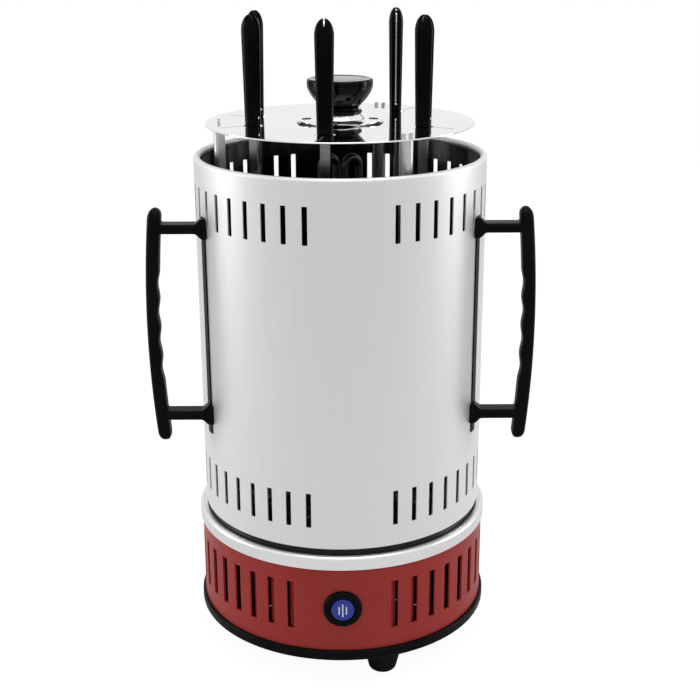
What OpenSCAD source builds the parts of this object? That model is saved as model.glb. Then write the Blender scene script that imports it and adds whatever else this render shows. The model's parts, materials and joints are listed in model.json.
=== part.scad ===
// Electric skewer grill. A louvred base holds a motor and a ring of gears, a slotted
// steel drum with two side handles stands on it round a central heater, and a lift-out
// rack with a knob steadies the skewers, which stand in sockets and turn.
// Bearings are degrees from the front (-Y) towards the right (+X).

/* [Drum] */
// Outer radius of the drum
drum_r = 105; // [100:0.5:112]
// Height of the drum
drum_h = 264; // [240:1:290]
// Thickness of the drum's sheet
drum_t = 1; // [0.8:0.1:1.4]
// Radius of the bead rolled inwards round the drum's top
bead_r = 2.4; // [1.8:0.1:3]
// Width of the fold at the drum's foot
fold_w = 2.4; // [2:0.1:3]
// Width of a vent slot
vent_w = 3.8; // [3:0.1:4.6]
// Height of a vent slot
vent_h = 26; // [20:0.5:30]
// Distance from the drum's top to the upper vent slots
vent_top = 18.5; // [14:0.5:24]
// Distance from the drum's bottom to the lower vent slots
vent_bottom = 16.2; // [12:0.5:22]
// Bearing of the middle of the plain front strip
vent_turn = 4; // [0:0.5:4]
// Half the width of the plain strip, in degrees
vent_plain = 17; // [16:0.5:18]
// Step between vent slots, in degrees
vent_step = 8.1; // [7.8:0.1:8.1]
// Vent slots on each side of a plain strip
vent_count = 9; // [5:1:9]

/* [Side handles] */
// Bearing of the slot that holds a side handle
handle_bearing = 65.6; // [65:0.1:66]
// Width of that slot
handle_slot_w = 7.2; // [6:0.1:7.6]
// Length of that slot
handle_slot_h = 161; // [150:1:170]
// Distance from the drum's top to that slot
handle_slot_top = 38; // [34:1:46]
// Distance between the two arms of a side handle
arm_span = 138; // [128:1:142]
// Height of an arm of a side handle
arm_h = 6.8; // [6:0.2:9]
// Distance from the drum's axis to the middle of a grip
grip_reach = 131; // [129:0.1:135]
// Thickness of a grip
grip_t = 9.8; // [8.5:0.1:11]
// Length of a grip
grip_h = 173; // [170:1:180]
// How far a grip bows outwards
grip_bow = 4.6; // [3:0.1:6]

/* [Base] */
// Outer radius of the louvred housing
housing_r = 108.5; // [108:0.1:109]
// Height of the louvred housing
housing_h = 64.8; // [62:0.2:72]
// Thickness of the housing's wall
housing_t = 2.5; // [2:0.1:3]
// Width of a louvre's window
louvre_w = 6.2; // [5:0.1:7]
// Height of a louvre's window
louvre_h = 37.7; // [30:0.5:40]
// Distance from the housing's top to the windows
louvre_top = 12.4; // [11:0.2:15]
// Bearing of the first louvre
louvre_first = 20; // [19:0.5:22]
// Step between louvres, in degrees
louvre_step = 8.4; // [8:0.1:8.6]
// Louvres on each side of the base
louvre_count = 17; // [10:1:17]
// Outer radius of the base pan
pan_r = 110.9; // [110.5:0.1:112]
// Height of the base pan's edge
pan_h = 7.8; // [7:0.1:9]
// Thickness of the base pan's floor
pan_t = 2.5; // [2:0.1:3]
// Outer radius of the steel trim ring
trim_r = 109.8; // [109.4:0.1:110.4]
// Height of the steel trim ring
trim_h = 9.6; // [9:0.1:11]
// Height of a foot
foot_h = 20; // [16:0.5:24]
// Radius of a foot at its top
foot_top_r = 12.6; // [11:0.1:13]
// Radius of a foot at the table
foot_low_r = 8.6; // [7:0.1:9.5]
// Distance from the axis to a foot
foot_place = 91; // [86:0.5:92]

/* [Button] */
// Height of the button above the base pan
button_up = 41.7; // [40:0.1:43]
// Outer radius of the button's bezel
bezel_r = 13.8; // [12.5:0.1:14.5]
// How far the bezel stands out of the housing
bezel_out = 2.9; // [2.5:0.1:3.4]
// Radius of the button's cap
cap_r = 8.4; // [7.5:0.1:8.8]

/* [Gears] */
// Module of the gears
gear_m = 1.5; // [1.45:0.01:1.52]
// Teeth on the ring gear round the heater
sun_teeth = 62; // [60:2:62]
// Teeth on a skewer's gear
planet_teeth = 24; // [22:2:24]
// Teeth on the motor's pinion
pinion_teeth = 12; // [12:1:14]
// Width of a gear's face
gear_w = 8; // [6:0.5:9]
// Radius of a gear's axle
axle_r = 3; // [2.5:0.1:3.4]
// Radius of the pinion's shaft
shaft_r = 2.5; // [2:0.1:3]
// Outer radius of a grease cup
cup_r = 19.6; // [17:0.1:20]
// Height of a grease cup
cup_h = 8; // [6:0.5:10]

/* [Rack] */
// Radius of the rack's plate
plate_r = 95.6; // [94:0.2:97]
// Thickness of the rack's plate
plate_t = 1.2; // [1:0.1:1.6]
// Height of the plate's top above the drum's top
plate_up = 21.9; // [18:0.1:26]
// Width of a post
post_w = 8; // [7:0.2:9]
// Thickness of a post's sheet
post_t = 1.2; // [1:0.1:1.5]
// Distance from the axis to a post
post_place = 86; // [85:0.2:88]
// Radius of the knob
knob_r = 23.5; // [22:0.5:26]
// Height of the knob above the plate
knob_h = 30; // [28:0.5:34]
// Radius of the chrome flange under the knob
flange_r = 31; // [28:0.5:33]

/* [Skewers] */
// Width of a skewer's blade
blade_w = 6.8; // [6:0.1:7.2]
// Thickness of a skewer's blade
blade_t = 1.4; // [1.2:0.1:1.8]
// Length of a skewer's handle
skewer_grip_h = 75; // [70:0.5:84]
// Radius of a skewer's handle at its foot
skewer_grip_low_r = 5.5; // [5.3:0.1:5.8]
// Radius of a skewer's handle near its top
skewer_grip_top_r = 6.6; // [6.2:0.1:6.7]

/* [Heater] */
// Radius of the heater's tube
tube_r = 2.8; // [2.4:0.1:3]
// Distance between the two legs of a heater loop
loop_w = 13; // [11:0.5:14]
// Distance from the axis to a loop
loop_place = 8.2; // [8:0.1:9]
// Radius of the heater's ceramic base
ceramic_r = 23; // [22:0.5:24]

/* [Hidden] */
$fn = 72;

// Clearances
over = 1;            // overrun of every cut
gap = 0.3;           // between pieces that move past each other, or that rest
run = 0.06;          // radial, a shaft in its hole
snug = 0.1;          // between fixed pieces that plug together

// Heights from the table up
pan_z = foot_h;
housing_z = pan_z + pan_h;
trim_z = housing_z + housing_h;
trim_top = trim_z + trim_h;
drum_gap = 4.1;      // dark band between the trim ring and the drum
drum_z = trim_top + drum_gap;
rim_z = drum_z + drum_h;
plate_z = rim_z + plate_up - plate_t;
plate_top = plate_z + plate_t;

// Deck, gear plate and gears
louvre_depth = 0.3;  // how far the louvres' blades reach past the housing's wall
deck_t = 2;
deck_drop = 5.3;     // deck's floor below the drum's foot
deck_top = drum_z - deck_drop;
deck_r = drum_r - 1.2 * drum_t;
deck_wall = 1.5;
spigot_r = drum_r - fold_w - drum_t - gap;
spigot_up = 2.7;
gear_plate_t = 2;
gear_plate_in = 10;  // gear plate's edge inside the housing's outer surface
gear_plate_low = 14; // gear plate's floor below the housing's top
gear_plate_z = trim_z - gear_plate_low;
gear_plate_r = housing_r - gear_plate_in;
gear_plate_top = gear_plate_z + gear_plate_t;
gear_lift = 4.2;
gear_z = gear_plate_top + gear_lift;
sun_pitch_r = gear_m * sun_teeth / 2;
planet_pitch_r = gear_m * planet_teeth / 2;
pinion_pitch_r = gear_m * pinion_teeth / 2;
planet_place = sun_pitch_r + planet_pitch_r;
pinion_place = sun_pitch_r + pinion_pitch_r;
pinion_bearing = 101.5;
backlash_share = 0.05;
addendum_share = 0.92;
dedendum_share = 1.25;
pressure_angle = 20;
flank_steps = 4;
bearing_t = 4;
bearing_r = ceramic_r + bearing_t;
bearing_brim = 3;
sun_hub_t = 5;
sun_hole_r = 4.5;
deck_hole_r = ceramic_r + gap;

// Places for skewers, each at its own bearing, and turned its own way about its own axis.
// The last one is empty.
skewer_bearings = [-110, -70, -9, 63, 140, 190];
skewer_turns = [60, 35, 189, -88, 130, 40];
socket_r = 8;
collar_gap = 0.8;    // radial, between a socket and the deck
collar_t = 1.4;
collar_up = 2;
cup_t = 0.8;
cup_round = 4;
cup_lip = 0.8;
socket_up = 4;       // socket's shoulder above the deck
socket_top = deck_top + socket_up;
spout_r = 6;
spout_h = 5;
axle_up = 2;         // axle above its gear
axle_top = gear_z + gear_w + axle_up;
socket_t = 2.5;
socket_floor = axle_top + socket_t;
tip_z = socket_floor + gap;
tip_l = 9;
blade_lip = 0.7;     // raised edges that stiffen a blade
skewer_grip_up = 0.5;
skewer_grip_z = plate_top + skewer_grip_up;
skewer_flat_share = 0.8;
tang_short = 13;     // end of the tang below the top of its handle
tang_l = skewer_grip_h - tang_short;
foot_edge = 0.6;
groove_start = 4;
groove_w = 2;
groove_d = 2.2;
dome_h = 11;

// Drum vents and side handles
vent_low_z = drum_z + vent_bottom;
vent_high_z = rim_z - vent_top - vent_h;
handle_slot_z = rim_z - handle_slot_top - handle_slot_h;
arm_up = 4;          // middle of the arms above the middle of their slot
arm_mid_z = handle_slot_z + handle_slot_h / 2 + arm_up;
arm_d = 13;
arm_root = 5;
arm_flare = 4;
finger_step = 21;
handle_screw_l = 15;
arm_y = -drum_r * cos(handle_bearing);
spine_out = 0.8;
grip_depth = 14;
grip_down = 3;       // middle of a grip below the middle of its arms
grip_z = arm_mid_z - grip_h / 2 - grip_down;
grip_rings = 52;
grip_sides = 16;
grip_end = 7;
grip_even_share = 0.6;
grip_tip_share = 0.02;
grip_square_share = 0.6;
finger_d = 1.1;
clamp_t = 1.3;
clamp_w = 14;
clamp_over = 5;
screw_r = 1.5;
screw_head_r = 3;
screw_head_h = 1.8;

// Louvred housing and what is in its wall
louvre_z = trim_z - louvre_top - louvre_h;
louvre_open = 1.5;   // gap past the end of a blade, seen from straight in front
blade_wall = 1.3;
sill_rise = 6;
housing_lip = 14;
housing_lip_t = 3;
housing_screw_n = 3;
trim_t = 1.2;
trim_round = 2.4;
trim_round_in = 0.9;
trim_in_r = deck_r + gap + snug;
pan_step = 0.9;
pan_spigot_t = 2;
pan_spigot_h = 5;
pan_vent_place = 55;
pan_vent_w = 4;
pan_vent_l = 24;
boss_r = 4.5;
boss_h = 18;
boss_rib_z = housing_z + pan_spigot_h + gap;
pan_screw_place = housing_r - housing_t - boss_r - 2 * snug - pan_spigot_t;
pillar_bearings = [-30, 60, 165, 240];
pillar_place = 84;
pillar_bore = 12;
deck_screw_bearings = [8, 128, 262];
deck_screw_place = 95;
button_z = pan_z + button_up;
bezel_seat = 1.2;    // depth of the flat that the bezel sits on
bezel_hole = 0.4;    // radial gap round the cap
bezel_brim = 2.6;
barrel_r = bezel_r - bezel_brim;
barrel_l = 9;
cap_l = 10;
switch_l = 16;
switch_tab_l = 6;
bezel_in = 0.8;
bezel_round = 1.8;
cap_out = 0.4;
cap_round = 1.2;
bar_w = 0.9;
bar_step = 2.6;
bar_up = 0.25;
bar_long = 10;
bar_short = 6;
gland_up = 22;
gland_z = pan_z + gland_up;
gland_brim = 2;
gland_out = bezel_out + cap_out + bar_up;
gland_r = 7.5;
gland_bore_r = 3.6;
gland_l = 16;

// Feet
foot_count = 3;
foot_bearing = 18.8;
foot_round = 2.4;
foot_well_r = 5;
foot_well_h = 8;
foot_brim = 2;
foot_screw_out = 4;

// Rack
post_bearings = [-85, 31, 159];
tab_w = 2.4;
tab_d = 2;
tab_up = 2.2;
post_tab_x = post_w / 2 - tab_w / 2;
plate_hole_r = skewer_grip_top_r + gap + snug;
slit_w = 0.9;
slit_end = 88;
knob_foot_h = 5.6;
knob_neck_r = 13.3;
knob_neck_z = 11;
knob_bead_r = 15.8;
knob_rim_drop = 3.4; // widest place of the knob below its top
knob_widest = knob_h - knob_rim_drop;
knob_edge = 2.2;
knob_dish = 2;
knob_steps = 8;
knob_bolt_in = 12;
bead_edge = 1.5;
flange_t = 0.9;
flange_cut_w = 3;
flange_cut_l = 12;
knob_bolt_r = 2;
post_socket_h = 3;
post_socket_t = 1.2;

// Heater
loop_turn = 35;
heater_drop = 1.5;   // heater's top below the drum's top
ceramic_up = 9;
ceramic_step = 3;
leg_gap = 1;
leg_below = 9;       // heater's legs below the gear plate
leg_foot = gear_plate_z - leg_below;
terminal_h = 8;
terminal_t = 1.6;

// Motor and wiring
motor_r = 25;
motor_h = 22;
motor_screw_place = motor_r + boss_r;
motor_ear_t = 1.5;
gearbox_r = 14;
gearbox_h = 8;
shaft_sunk = 14;
pinion_hub_r = 5.5;
block_x = -16;
block_y = 8;
block_l = 36;
block_w = 18;
block_foot_h = 4;
block_pitch = 11;
block_h = 14;

function arc(c, r, a0, a1, n) =
  [for (i = [0 : n]) c + r * [cos(a0 + (a1 - a0) * i / n), sin(a0 + (a1 - a0) * i / n)]];

// Puts its children on a bearing, at a distance from the axis and at a height
module on_bearing(b, r = 0, z = 0) {
  rotate([0, 0, b]) translate([0, -r, z]) children();
}

// Box centred left to right, running outwards along -Y from r0 to r1
module radial_box(w, r0, r1, h) {
  translate([-w / 2, -r1, 0]) cube([w, r1 - r0, h]);
}

// Countersunk-free pan screw standing on z = 0 with its head up
module pan_screw(length) {
  cylinder(r = screw_head_r, h = screw_head_h, $fn = 32);
  translate([0, 0, -length]) cylinder(r = screw_r, h = length + screw_head_h / 2, $fn = 32);
}

// Involute of a base circle: the point where the unwound string is t degrees long
function involute(rb, t) = rb * [cos(t) + t * PI / 180 * sin(t), sin(t) - t * PI / 180 * cos(t)];
function unwind(rb, r) = 180 / PI * sqrt(max(0, r * r / rb / rb - 1));

// One flank of a tooth, from the root up, turned so that the tooth is centred on +X
function flank(rp, rb, r0, r1, half) =
  let (ap = involute(rb, unwind(rb, rp)), ang = atan2(ap[1], ap[0]))
  [for (i = [0 : flank_steps])
    let (r = r0 + (r1 - r0) * i / flank_steps, p = involute(rb, unwind(rb, max(r, rb))),
         a = atan2(p[1], p[0]) - ang - half)
    [r * cos(a), r * sin(a)]];

function turn(p, a) = [p[0] * cos(a) - p[1] * sin(a), p[0] * sin(a) + p[1] * cos(a)];

// Outline of a spur gear with a tooth centred on +X
module gear_outline(teeth) {
  rp = gear_m * teeth / 2;
  rb = rp * cos(pressure_angle);
  r0 = rp - dedendum_share * gear_m;
  r1 = rp + addendum_share * gear_m;
  half = 90 / teeth * (1 - backlash_share);
  low = flank(rp, rb, r0, r1, half);
  n = len(low) - 1;
  polygon([for (k = [0 : teeth - 1])
    for (j = [0 : 2 * n + 1])
      let (p = j <= n ? low[j] : [low[2 * n + 1 - j][0], -low[2 * n + 1 - j][1]])
      turn(p, k * 360 / teeth)]);
}

// Turn that puts a gear's gap over the ring gear's tooth, at a bearing
function mesh_turn(b, teeth) =
  let (a = b - 90) a + 180 + a * sun_teeth / teeth - 180 / teeth;

module base_pan() {
  color([0.07, 0.07, 0.075]) {
    difference() {
      rotate_extrude($fn = 120) polygon(concat(
        [[0, pan_z], [pan_r - 2 * pan_step, pan_z]],
        arc([pan_r - 2 * pan_step, pan_z + 2 * pan_step], 2 * pan_step, -90, 0, 5),
        [[pan_r, housing_z - pan_step], [pan_r - pan_step, housing_z],
         [housing_r - housing_t - snug, housing_z],
         [housing_r - housing_t - snug, housing_z + pan_spigot_h],
         [housing_r - housing_t - snug - pan_spigot_t, housing_z + pan_spigot_h],
         [housing_r - housing_t - snug - pan_spigot_t, pan_z + pan_t],
         [0, pan_z + pan_t]]));
      for (k = [0 : foot_count - 1])
        on_bearing(foot_bearing + k * 360 / foot_count, foot_place, pan_z - over)
          cylinder(r = screw_r + snug, h = pan_t + 2 * over, $fn = 32);
      for (k = [0 : housing_screw_n - 1])
        on_bearing(screw_bearing(k), pan_screw_place, pan_z - over)
          cylinder(r = screw_r + snug, h = pan_t + 2 * over, $fn = 32);
      for (b = [0 : 30 : 330])
        on_bearing(b, pan_vent_place, pan_z - over) radial_slot(pan_vent_w, pan_vent_l, pan_t + 2 * over);
    }
    for (b = pillar_bearings)
      on_bearing(b, pillar_place, pan_z + pan_t / 2) difference() {
        cylinder(r = boss_r, h = gear_plate_z - pan_z - pan_t / 2, $fn = 32);
        translate([0, 0, gear_plate_z - pan_z - pan_t / 2 - pillar_bore])
          cylinder(r = screw_r + snug, h = pillar_bore + over, $fn = 32);
      }
  }
}
function screw_bearing(k) = foot_bearing + 60 + k * 360 / housing_screw_n;

// Slot with round ends, its length along the radius
module radial_slot(w, l, h) {
  translate([-w / 2, -l / 2, 0]) cube([w, l, h]);
  for (s = [-1, 1]) translate([0, s * l / 2, 0]) cylinder(d = w, h = h, $fn = 24);
}

module feet() {
  color([0.05, 0.05, 0.05])
    for (k = [0 : foot_count - 1])
      on_bearing(foot_bearing + k * 360 / foot_count, foot_place)
        rotate_extrude() polygon(concat(
          [[foot_well_r, 0]],
          arc([foot_low_r - foot_round, foot_round], foot_round, -90, 0, 5),
          [[foot_top_r, foot_h - foot_brim], [foot_top_r, foot_h],
           [screw_r + snug, foot_h], [screw_r + snug, foot_well_h], [foot_well_r, foot_well_h]]));
}

module foot_screws() {
  color("silver")
    for (k = [0 : foot_count - 1])
      on_bearing(foot_bearing + k * 360 / foot_count, foot_place, foot_well_h - snug)
        mirror([0, 0, 1]) pan_screw(foot_h - foot_well_h + pan_t + foot_screw_out);
}

module base_housing() {
  color([0.57, 0.19, 0.19]) difference() {
    union() {
      difference() {
        rotate_extrude($fn = 120) polygon([
          [housing_r, housing_z], [housing_r, trim_z],
          [housing_r - housing_t - housing_lip, trim_z],
          [housing_r - housing_t - housing_lip, trim_z - housing_lip_t],
          [housing_r - housing_t, trim_z - housing_lip_t], [housing_r - housing_t, housing_z]]);
        each_louvre() translate([0, 0, louvre_z])
          radial_box(louvre_w, housing_r - housing_t - over, housing_r + over, louvre_h);
      }
      each_louvre() louvre_blade();
      for (k = [0 : housing_screw_n - 1])
        on_bearing(screw_bearing(k)) {
          translate([0, -pan_screw_place, pan_z + pan_t])
            cylinder(r = boss_r, h = boss_h, $fn = 32);
          translate([0, 0, boss_rib_z])
            radial_box(blade_wall, pan_screw_place, housing_r - housing_t / 2,
                       pan_z + pan_t + boss_h - boss_rib_z);
        }
    }
    front_cylinder(housing_r + over, bezel_r + snug, bezel_seat + over);
    front_cylinder(housing_r + over, barrel_r + snug, housing_t + 3 * over);
    translate([0, housing_r + over, gland_z]) rotate([90, 0, 0]) {
      cylinder(r = gland_r + snug, h = housing_t + 3 * over, $fn = 48);
      cylinder(r = gland_r + gland_brim + snug, h = bezel_seat + over, $fn = 48);
    }
    for (k = [0 : housing_screw_n - 1])
      on_bearing(screw_bearing(k), pan_screw_place, pan_z)
        cylinder(r = screw_r + snug, h = boss_h, $fn = 32);
    for (b = deck_screw_bearings)
      on_bearing(b, deck_screw_place, trim_z - housing_lip_t - over)
        cylinder(r = screw_r + snug, h = housing_lip_t + 2 * over, $fn = 32);
  }
}

// Every louvre, mirrored on the left so that its opening faces away from the front
module each_louvre() {
  for (s = [0, 1], k = [0 : louvre_count - 1])
    mirror([s, 0, 0]) rotate([0, 0, louvre_first + k * louvre_step]) children();
}

// Slanted blade behind a window, and the sloping sill at the window's foot
module louvre_blade() {
  deep = housing_r - housing_t - louvre_depth;
  far_x = louvre_w / 2 - louvre_open;
  translate([0, 0, louvre_z - blade_wall])
    linear_extrude(louvre_h + 2 * blade_wall)
      polygon([[-louvre_w / 2, -housing_r + snug], [far_x, -deep], [far_x - blade_wall, -deep],
               [-louvre_w / 2 - blade_wall, -housing_r + housing_t],
               [-louvre_w / 2 - blade_wall, -housing_r + housing_t / 2]]);
  rotate([90, 0, 90]) translate([0, 0, -louvre_w / 2]) linear_extrude(louvre_w)
    polygon([[-housing_r + snug, louvre_z], [-deep, louvre_z + sill_rise],
             [-deep, louvre_z + sill_rise - blade_wall],
             [-housing_r + housing_t, louvre_z - blade_wall],
             [-housing_r + housing_t / 2, louvre_z - blade_wall]]);
}

// Cylinder on the button's axis, running backwards from a distance in front of the drum's axis
module front_cylinder(from_y, r, l) {
  translate([0, -from_y, button_z]) rotate([-90, 0, 0]) cylinder(r = r, h = l, $fn = 64);
}

module housing_screws() {
  color("silver")
    for (k = [0 : housing_screw_n - 1])
      on_bearing(screw_bearing(k), pan_screw_place, pan_z)
        mirror([0, 0, 1]) pan_screw(pan_t + boss_h / 2);
}

module trim_ring() {
  color("silver") rotate_extrude($fn = 120) polygon(concat(
    [[trim_in_r, trim_z]],
    arc([trim_in_r + trim_round_in, trim_top - trim_round_in], trim_round_in, 180, 90, 3),
    arc([trim_r - trim_round, trim_top - trim_round], trim_round, 90, 0, 6),
    [[trim_r, trim_z], [trim_r - trim_t, trim_z]],
    arc([trim_r - trim_round, trim_top - trim_round], trim_round - trim_t, 0, 90, 6),
    [[trim_in_r + trim_t, trim_top - trim_t], [trim_in_r + trim_t, trim_z]]));
}

module deck_plate() {
  color([0.1, 0.1, 0.1]) difference() {
    union() {
      rotate_extrude($fn = 120) polygon([
        [deck_r, trim_z], [deck_r, drum_z - gap], [spigot_r, drum_z - gap],
        [spigot_r, drum_z + spigot_up], [spigot_r - deck_wall, drum_z + spigot_up],
        [spigot_r - deck_wall, deck_top], [deck_hole_r, deck_top], [deck_hole_r, deck_top - deck_t],
        [deck_r - deck_wall, deck_top - deck_t], [deck_r - deck_wall, trim_z]]);
      for (b = skewer_bearings)
        on_bearing(b, planet_place, deck_top - deck_t)
          cylinder(r = socket_r + collar_gap + collar_t, h = deck_t + collar_up);
      for (b = deck_screw_bearings)
        on_bearing(b, deck_screw_place, trim_z)
          cylinder(r = screw_head_r + collar_t, h = deck_top - deck_t / 2 - trim_z, $fn = 32);
      for (b = post_bearings)
        on_bearing(b, 0, deck_top - deck_t / 2)
          radial_box(post_w + 2 * (gap + post_socket_t),
                     post_place - post_w / 2 - gap - post_socket_t,
                     post_place + post_w / 2 + gap + post_socket_t, post_socket_h + deck_t / 2);
    }
    for (b = skewer_bearings)
      on_bearing(b, planet_place, deck_top - deck_t - over)
        cylinder(r = socket_r + collar_gap, h = deck_t + collar_up + 2 * over);
    for (b = deck_screw_bearings)
      on_bearing(b, deck_screw_place, trim_z - over)
        cylinder(r = screw_r + snug, h = deck_top - trim_z + 2 * over, $fn = 32);
    for (b = post_bearings)
      on_bearing(b, 0, deck_top)
        radial_box(post_w + 2 * gap, post_place - post_w / 2 - gap, post_place + post_w / 2 + gap,
                   post_socket_h + over);
  }
}

module deck_screws() {
  color("silver")
    for (b = deck_screw_bearings)
      on_bearing(b, deck_screw_place, deck_top) pan_screw(deck_top - trim_z + housing_lip_t);
}

module gear_plate() {
  color("lightsteelblue") translate([0, 0, gear_plate_z]) difference() {
    cylinder(r = gear_plate_r, h = gear_plate_t, $fn = 96);
    for (b = pillar_bearings) plate_hole(b, pillar_place, screw_r + snug);
    for (b = skewer_bearings) plate_hole(b, planet_place, axle_r + run);
    plate_hole(pinion_bearing, pinion_place, shaft_r + gap);
    for (s = [-1, 1]) motor_spot(s) translate([0, 0, -over])
      cylinder(r = screw_r + snug, h = gear_plate_t + 2 * over, $fn = 32);
    heater_legs() translate([0, 0, -over])
      cylinder(r = tube_r + leg_gap, h = gear_plate_t + 2 * over, $fn = 32);
  }
}

module plate_hole(b, r, hole_r) {
  on_bearing(b, r, -over) cylinder(r = hole_r, h = gear_plate_t + 2 * over, $fn = 32);
}

// Where a motor screw stands, on the tangent through the motor's axis
module motor_spot(s) {
  on_bearing(pinion_bearing, pinion_place) translate([s * motor_screw_place, 0, 0]) children();
}

// Where the four legs of the heater stand
module heater_legs() {
  for (s = [-1, 1], e = [-1, 1])
    translate([s * loop_place, 0, 0]) rotate([0, 0, loop_turn]) translate([e * loop_w / 2, 0, 0])
      children();
}

module gear_plate_screws() {
  color("silver")
    for (b = pillar_bearings)
      on_bearing(b, pillar_place, gear_plate_top) pan_screw(gear_plate_t + pillar_bore - over);
}

module gear_axles() {
  color("silver")
    for (b = skewer_bearings)
      on_bearing(b, planet_place, gear_plate_z) cylinder(r = axle_r, h = axle_top - gear_plate_z);
}

module sun_bearing() {
  color("goldenrod") translate([0, 0, gear_plate_top]) difference() {
    union() {
      cylinder(r = bearing_r, h = gear_lift + gear_w + gap);
      cylinder(r = bearing_r + bearing_brim, h = gear_lift / 2);
    }
    translate([0, 0, -over])
      cylinder(r = ceramic_r + snug, h = gear_lift + gear_w + gap + 2 * over);
  }
}

module heater_base() {
  color("ivory") difference() {
    translate([0, 0, gear_plate_top]) union() {
      cylinder(r = ceramic_r, h = deck_top + ceramic_up - gear_plate_top - ceramic_step);
      cylinder(r = ceramic_r - ceramic_step, h = deck_top + ceramic_up - gear_plate_top);
    }
    heater_legs() translate([0, 0, gear_plate_top - over])
      cylinder(r = tube_r + snug, h = deck_top + ceramic_up - gear_plate_top + 2 * over, $fn = 32);
  }
}

module heater_element() {
  leg_top = rim_z - heater_drop - tube_r - loop_w / 2;
  color([0.25, 0.24, 0.23]) {
    heater_legs() translate([0, 0, leg_foot])
      cylinder(r = tube_r - snug, h = leg_top - leg_foot + 5 * snug, $fn = 32);
    for (s = [-1, 1])
      translate([s * loop_place, 0, leg_top]) rotate([0, 0, loop_turn]) rotate([90, 0, 0])
        rotate_extrude(angle = 180) translate([loop_w / 2, 0]) circle(r = tube_r, $fn = 32);
  }
}

module heater_terminals() {
  color("white") heater_legs() translate([0, 0, leg_foot - terminal_h + tube_r]) difference() {
    cylinder(r = tube_r + terminal_t, h = terminal_h, $fn = 32);
    translate([0, 0, terminal_h - tube_r]) cylinder(r = tube_r + snug, h = terminal_h, $fn = 32);
  }
}

module drive_motor() {
  color("gray") on_bearing(pinion_bearing, pinion_place, gear_plate_z - motor_h) difference() {
    union() {
      cylinder(r = motor_r, h = motor_h);
      for (s = [-1, 1]) translate([s * motor_screw_place, 0, motor_h - motor_ear_t])
        cylinder(r = boss_r, h = motor_ear_t, $fn = 32);
      translate([-motor_screw_place, -boss_r / 2, motor_h - motor_ear_t])
        cube([2 * motor_screw_place, boss_r, motor_ear_t]);
      translate([0, 0, -gearbox_h]) cylinder(r = gearbox_r, h = gearbox_h + over);
    }
    translate([0, 0, motor_h - shaft_sunk]) cylinder(r = shaft_r + run, h = shaft_sunk + over);
    for (s = [-1, 1]) translate([s * motor_screw_place, 0, motor_h - motor_ear_t - over])
      cylinder(r = screw_r + snug, h = motor_ear_t + 2 * over, $fn = 32);
  }
}

module motor_screws() {
  color("silver")
    for (s = [-1, 1]) motor_spot(s) translate([0, 0, gear_plate_top])
      pan_screw(gear_plate_t + motor_ear_t);
}

module terminal_block() {
  color("whitesmoke") translate([block_x, block_y, pan_z + pan_t]) difference() {
    union() {
      translate([-block_l / 2, -block_w / 2, 0]) cube([block_l, block_w, block_foot_h]);
      for (k = [-1, 0, 1]) translate([k * block_pitch - block_w / 3, -block_w / 3, 0])
        cube([block_w * 2 / 3, block_w * 2 / 3, block_h]);
    }
    for (k = [-1, 0, 1]) translate([k * block_pitch, 0, block_foot_h])
      cylinder(r = screw_r, h = block_h, $fn = 32);
  }
}

module switch_body() {
  back = housing_r - bezel_seat - barrel_l;
  color([0.15, 0.15, 0.16]) {
    front_cylinder(back, barrel_r, switch_l);
    for (s = [-1, 1], e = [-1, 1])
      translate([s * barrel_r / 2 - blade_t / 2, -back + switch_l, button_z + e * barrel_r / 3 - tab_w / 2])
        cube([blade_t, switch_tab_l, tab_w]);
  }
}

module switch_bezel() {
  face = housing_r + bezel_out;
  color([0.06, 0.06, 0.065]) translate([0, -face, button_z]) rotate([-90, 0, 0])
    rotate_extrude() polygon(concat(
      [[cap_r + bezel_hole, bezel_in]],
      arc([cap_r + bezel_hole + bezel_in, bezel_in], bezel_in, 180, 270, 3),
      arc([bezel_r - bezel_round, bezel_round], bezel_round, 270, 360, 5),
      [[bezel_r, bezel_out + bezel_seat], [barrel_r, bezel_out + bezel_seat],
       [barrel_r, bezel_out + bezel_seat + barrel_l],
       [cap_r + bezel_hole, bezel_out + bezel_seat + barrel_l]]));
}

module button_cap() {
  front = housing_r + bezel_out + cap_out;
  color([0.15, 0.2, 0.75]) {
    translate([0, -front, button_z]) rotate([-90, 0, 0])
      rotate_extrude() polygon(concat(
        [[0, 0]], arc([cap_r - cap_round, cap_round], cap_round, 270, 360, 4),
        [[cap_r, cap_l], [0, cap_l]]));
    for (k = [-1, 0, 1])
      translate([k * bar_step - bar_w / 2, -front - bar_up, button_z - bar_length(k) / 2])
        cube([bar_w, bar_up + cap_round, bar_length(k)]);
  }
}
function bar_length(k) = k == 0 ? bar_long : bar_short;

module cord_gland() {
  color([0.06, 0.06, 0.065])
    translate([0, housing_r + gland_out, gland_z]) rotate([90, 0, 0]) difference() {
      union() {
        cylinder(r = gland_r + gland_brim, h = gland_out + bezel_seat, $fn = 48);
        cylinder(r = gland_r, h = gland_l, $fn = 48);
      }
      translate([0, 0, -over]) cylinder(r = gland_bore_r, h = gland_l + 2 * over, $fn = 48);
    }
}

module sun_gear() {
  color("whitesmoke") difference() {
    union() {
      translate([0, 0, gear_z]) linear_extrude(gear_w) gear_outline(sun_teeth);
      translate([0, 0, gear_plate_top + gear_lift / 2 + gap])
        cylinder(r = bearing_r + sun_hub_t, h = gear_lift / 2 + gear_w - gap);
    }
    translate([0, 0, gear_plate_top]) cylinder(r = bearing_r + run, h = gear_lift + gear_w + over);
    for (b = [0 : 45 : 315])
      on_bearing(b, (bearing_r + sun_pitch_r) / 2, gear_z - over)
        cylinder(r = sun_hole_r, h = gear_w + 2 * over, $fn = 32);
  }
}

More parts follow.
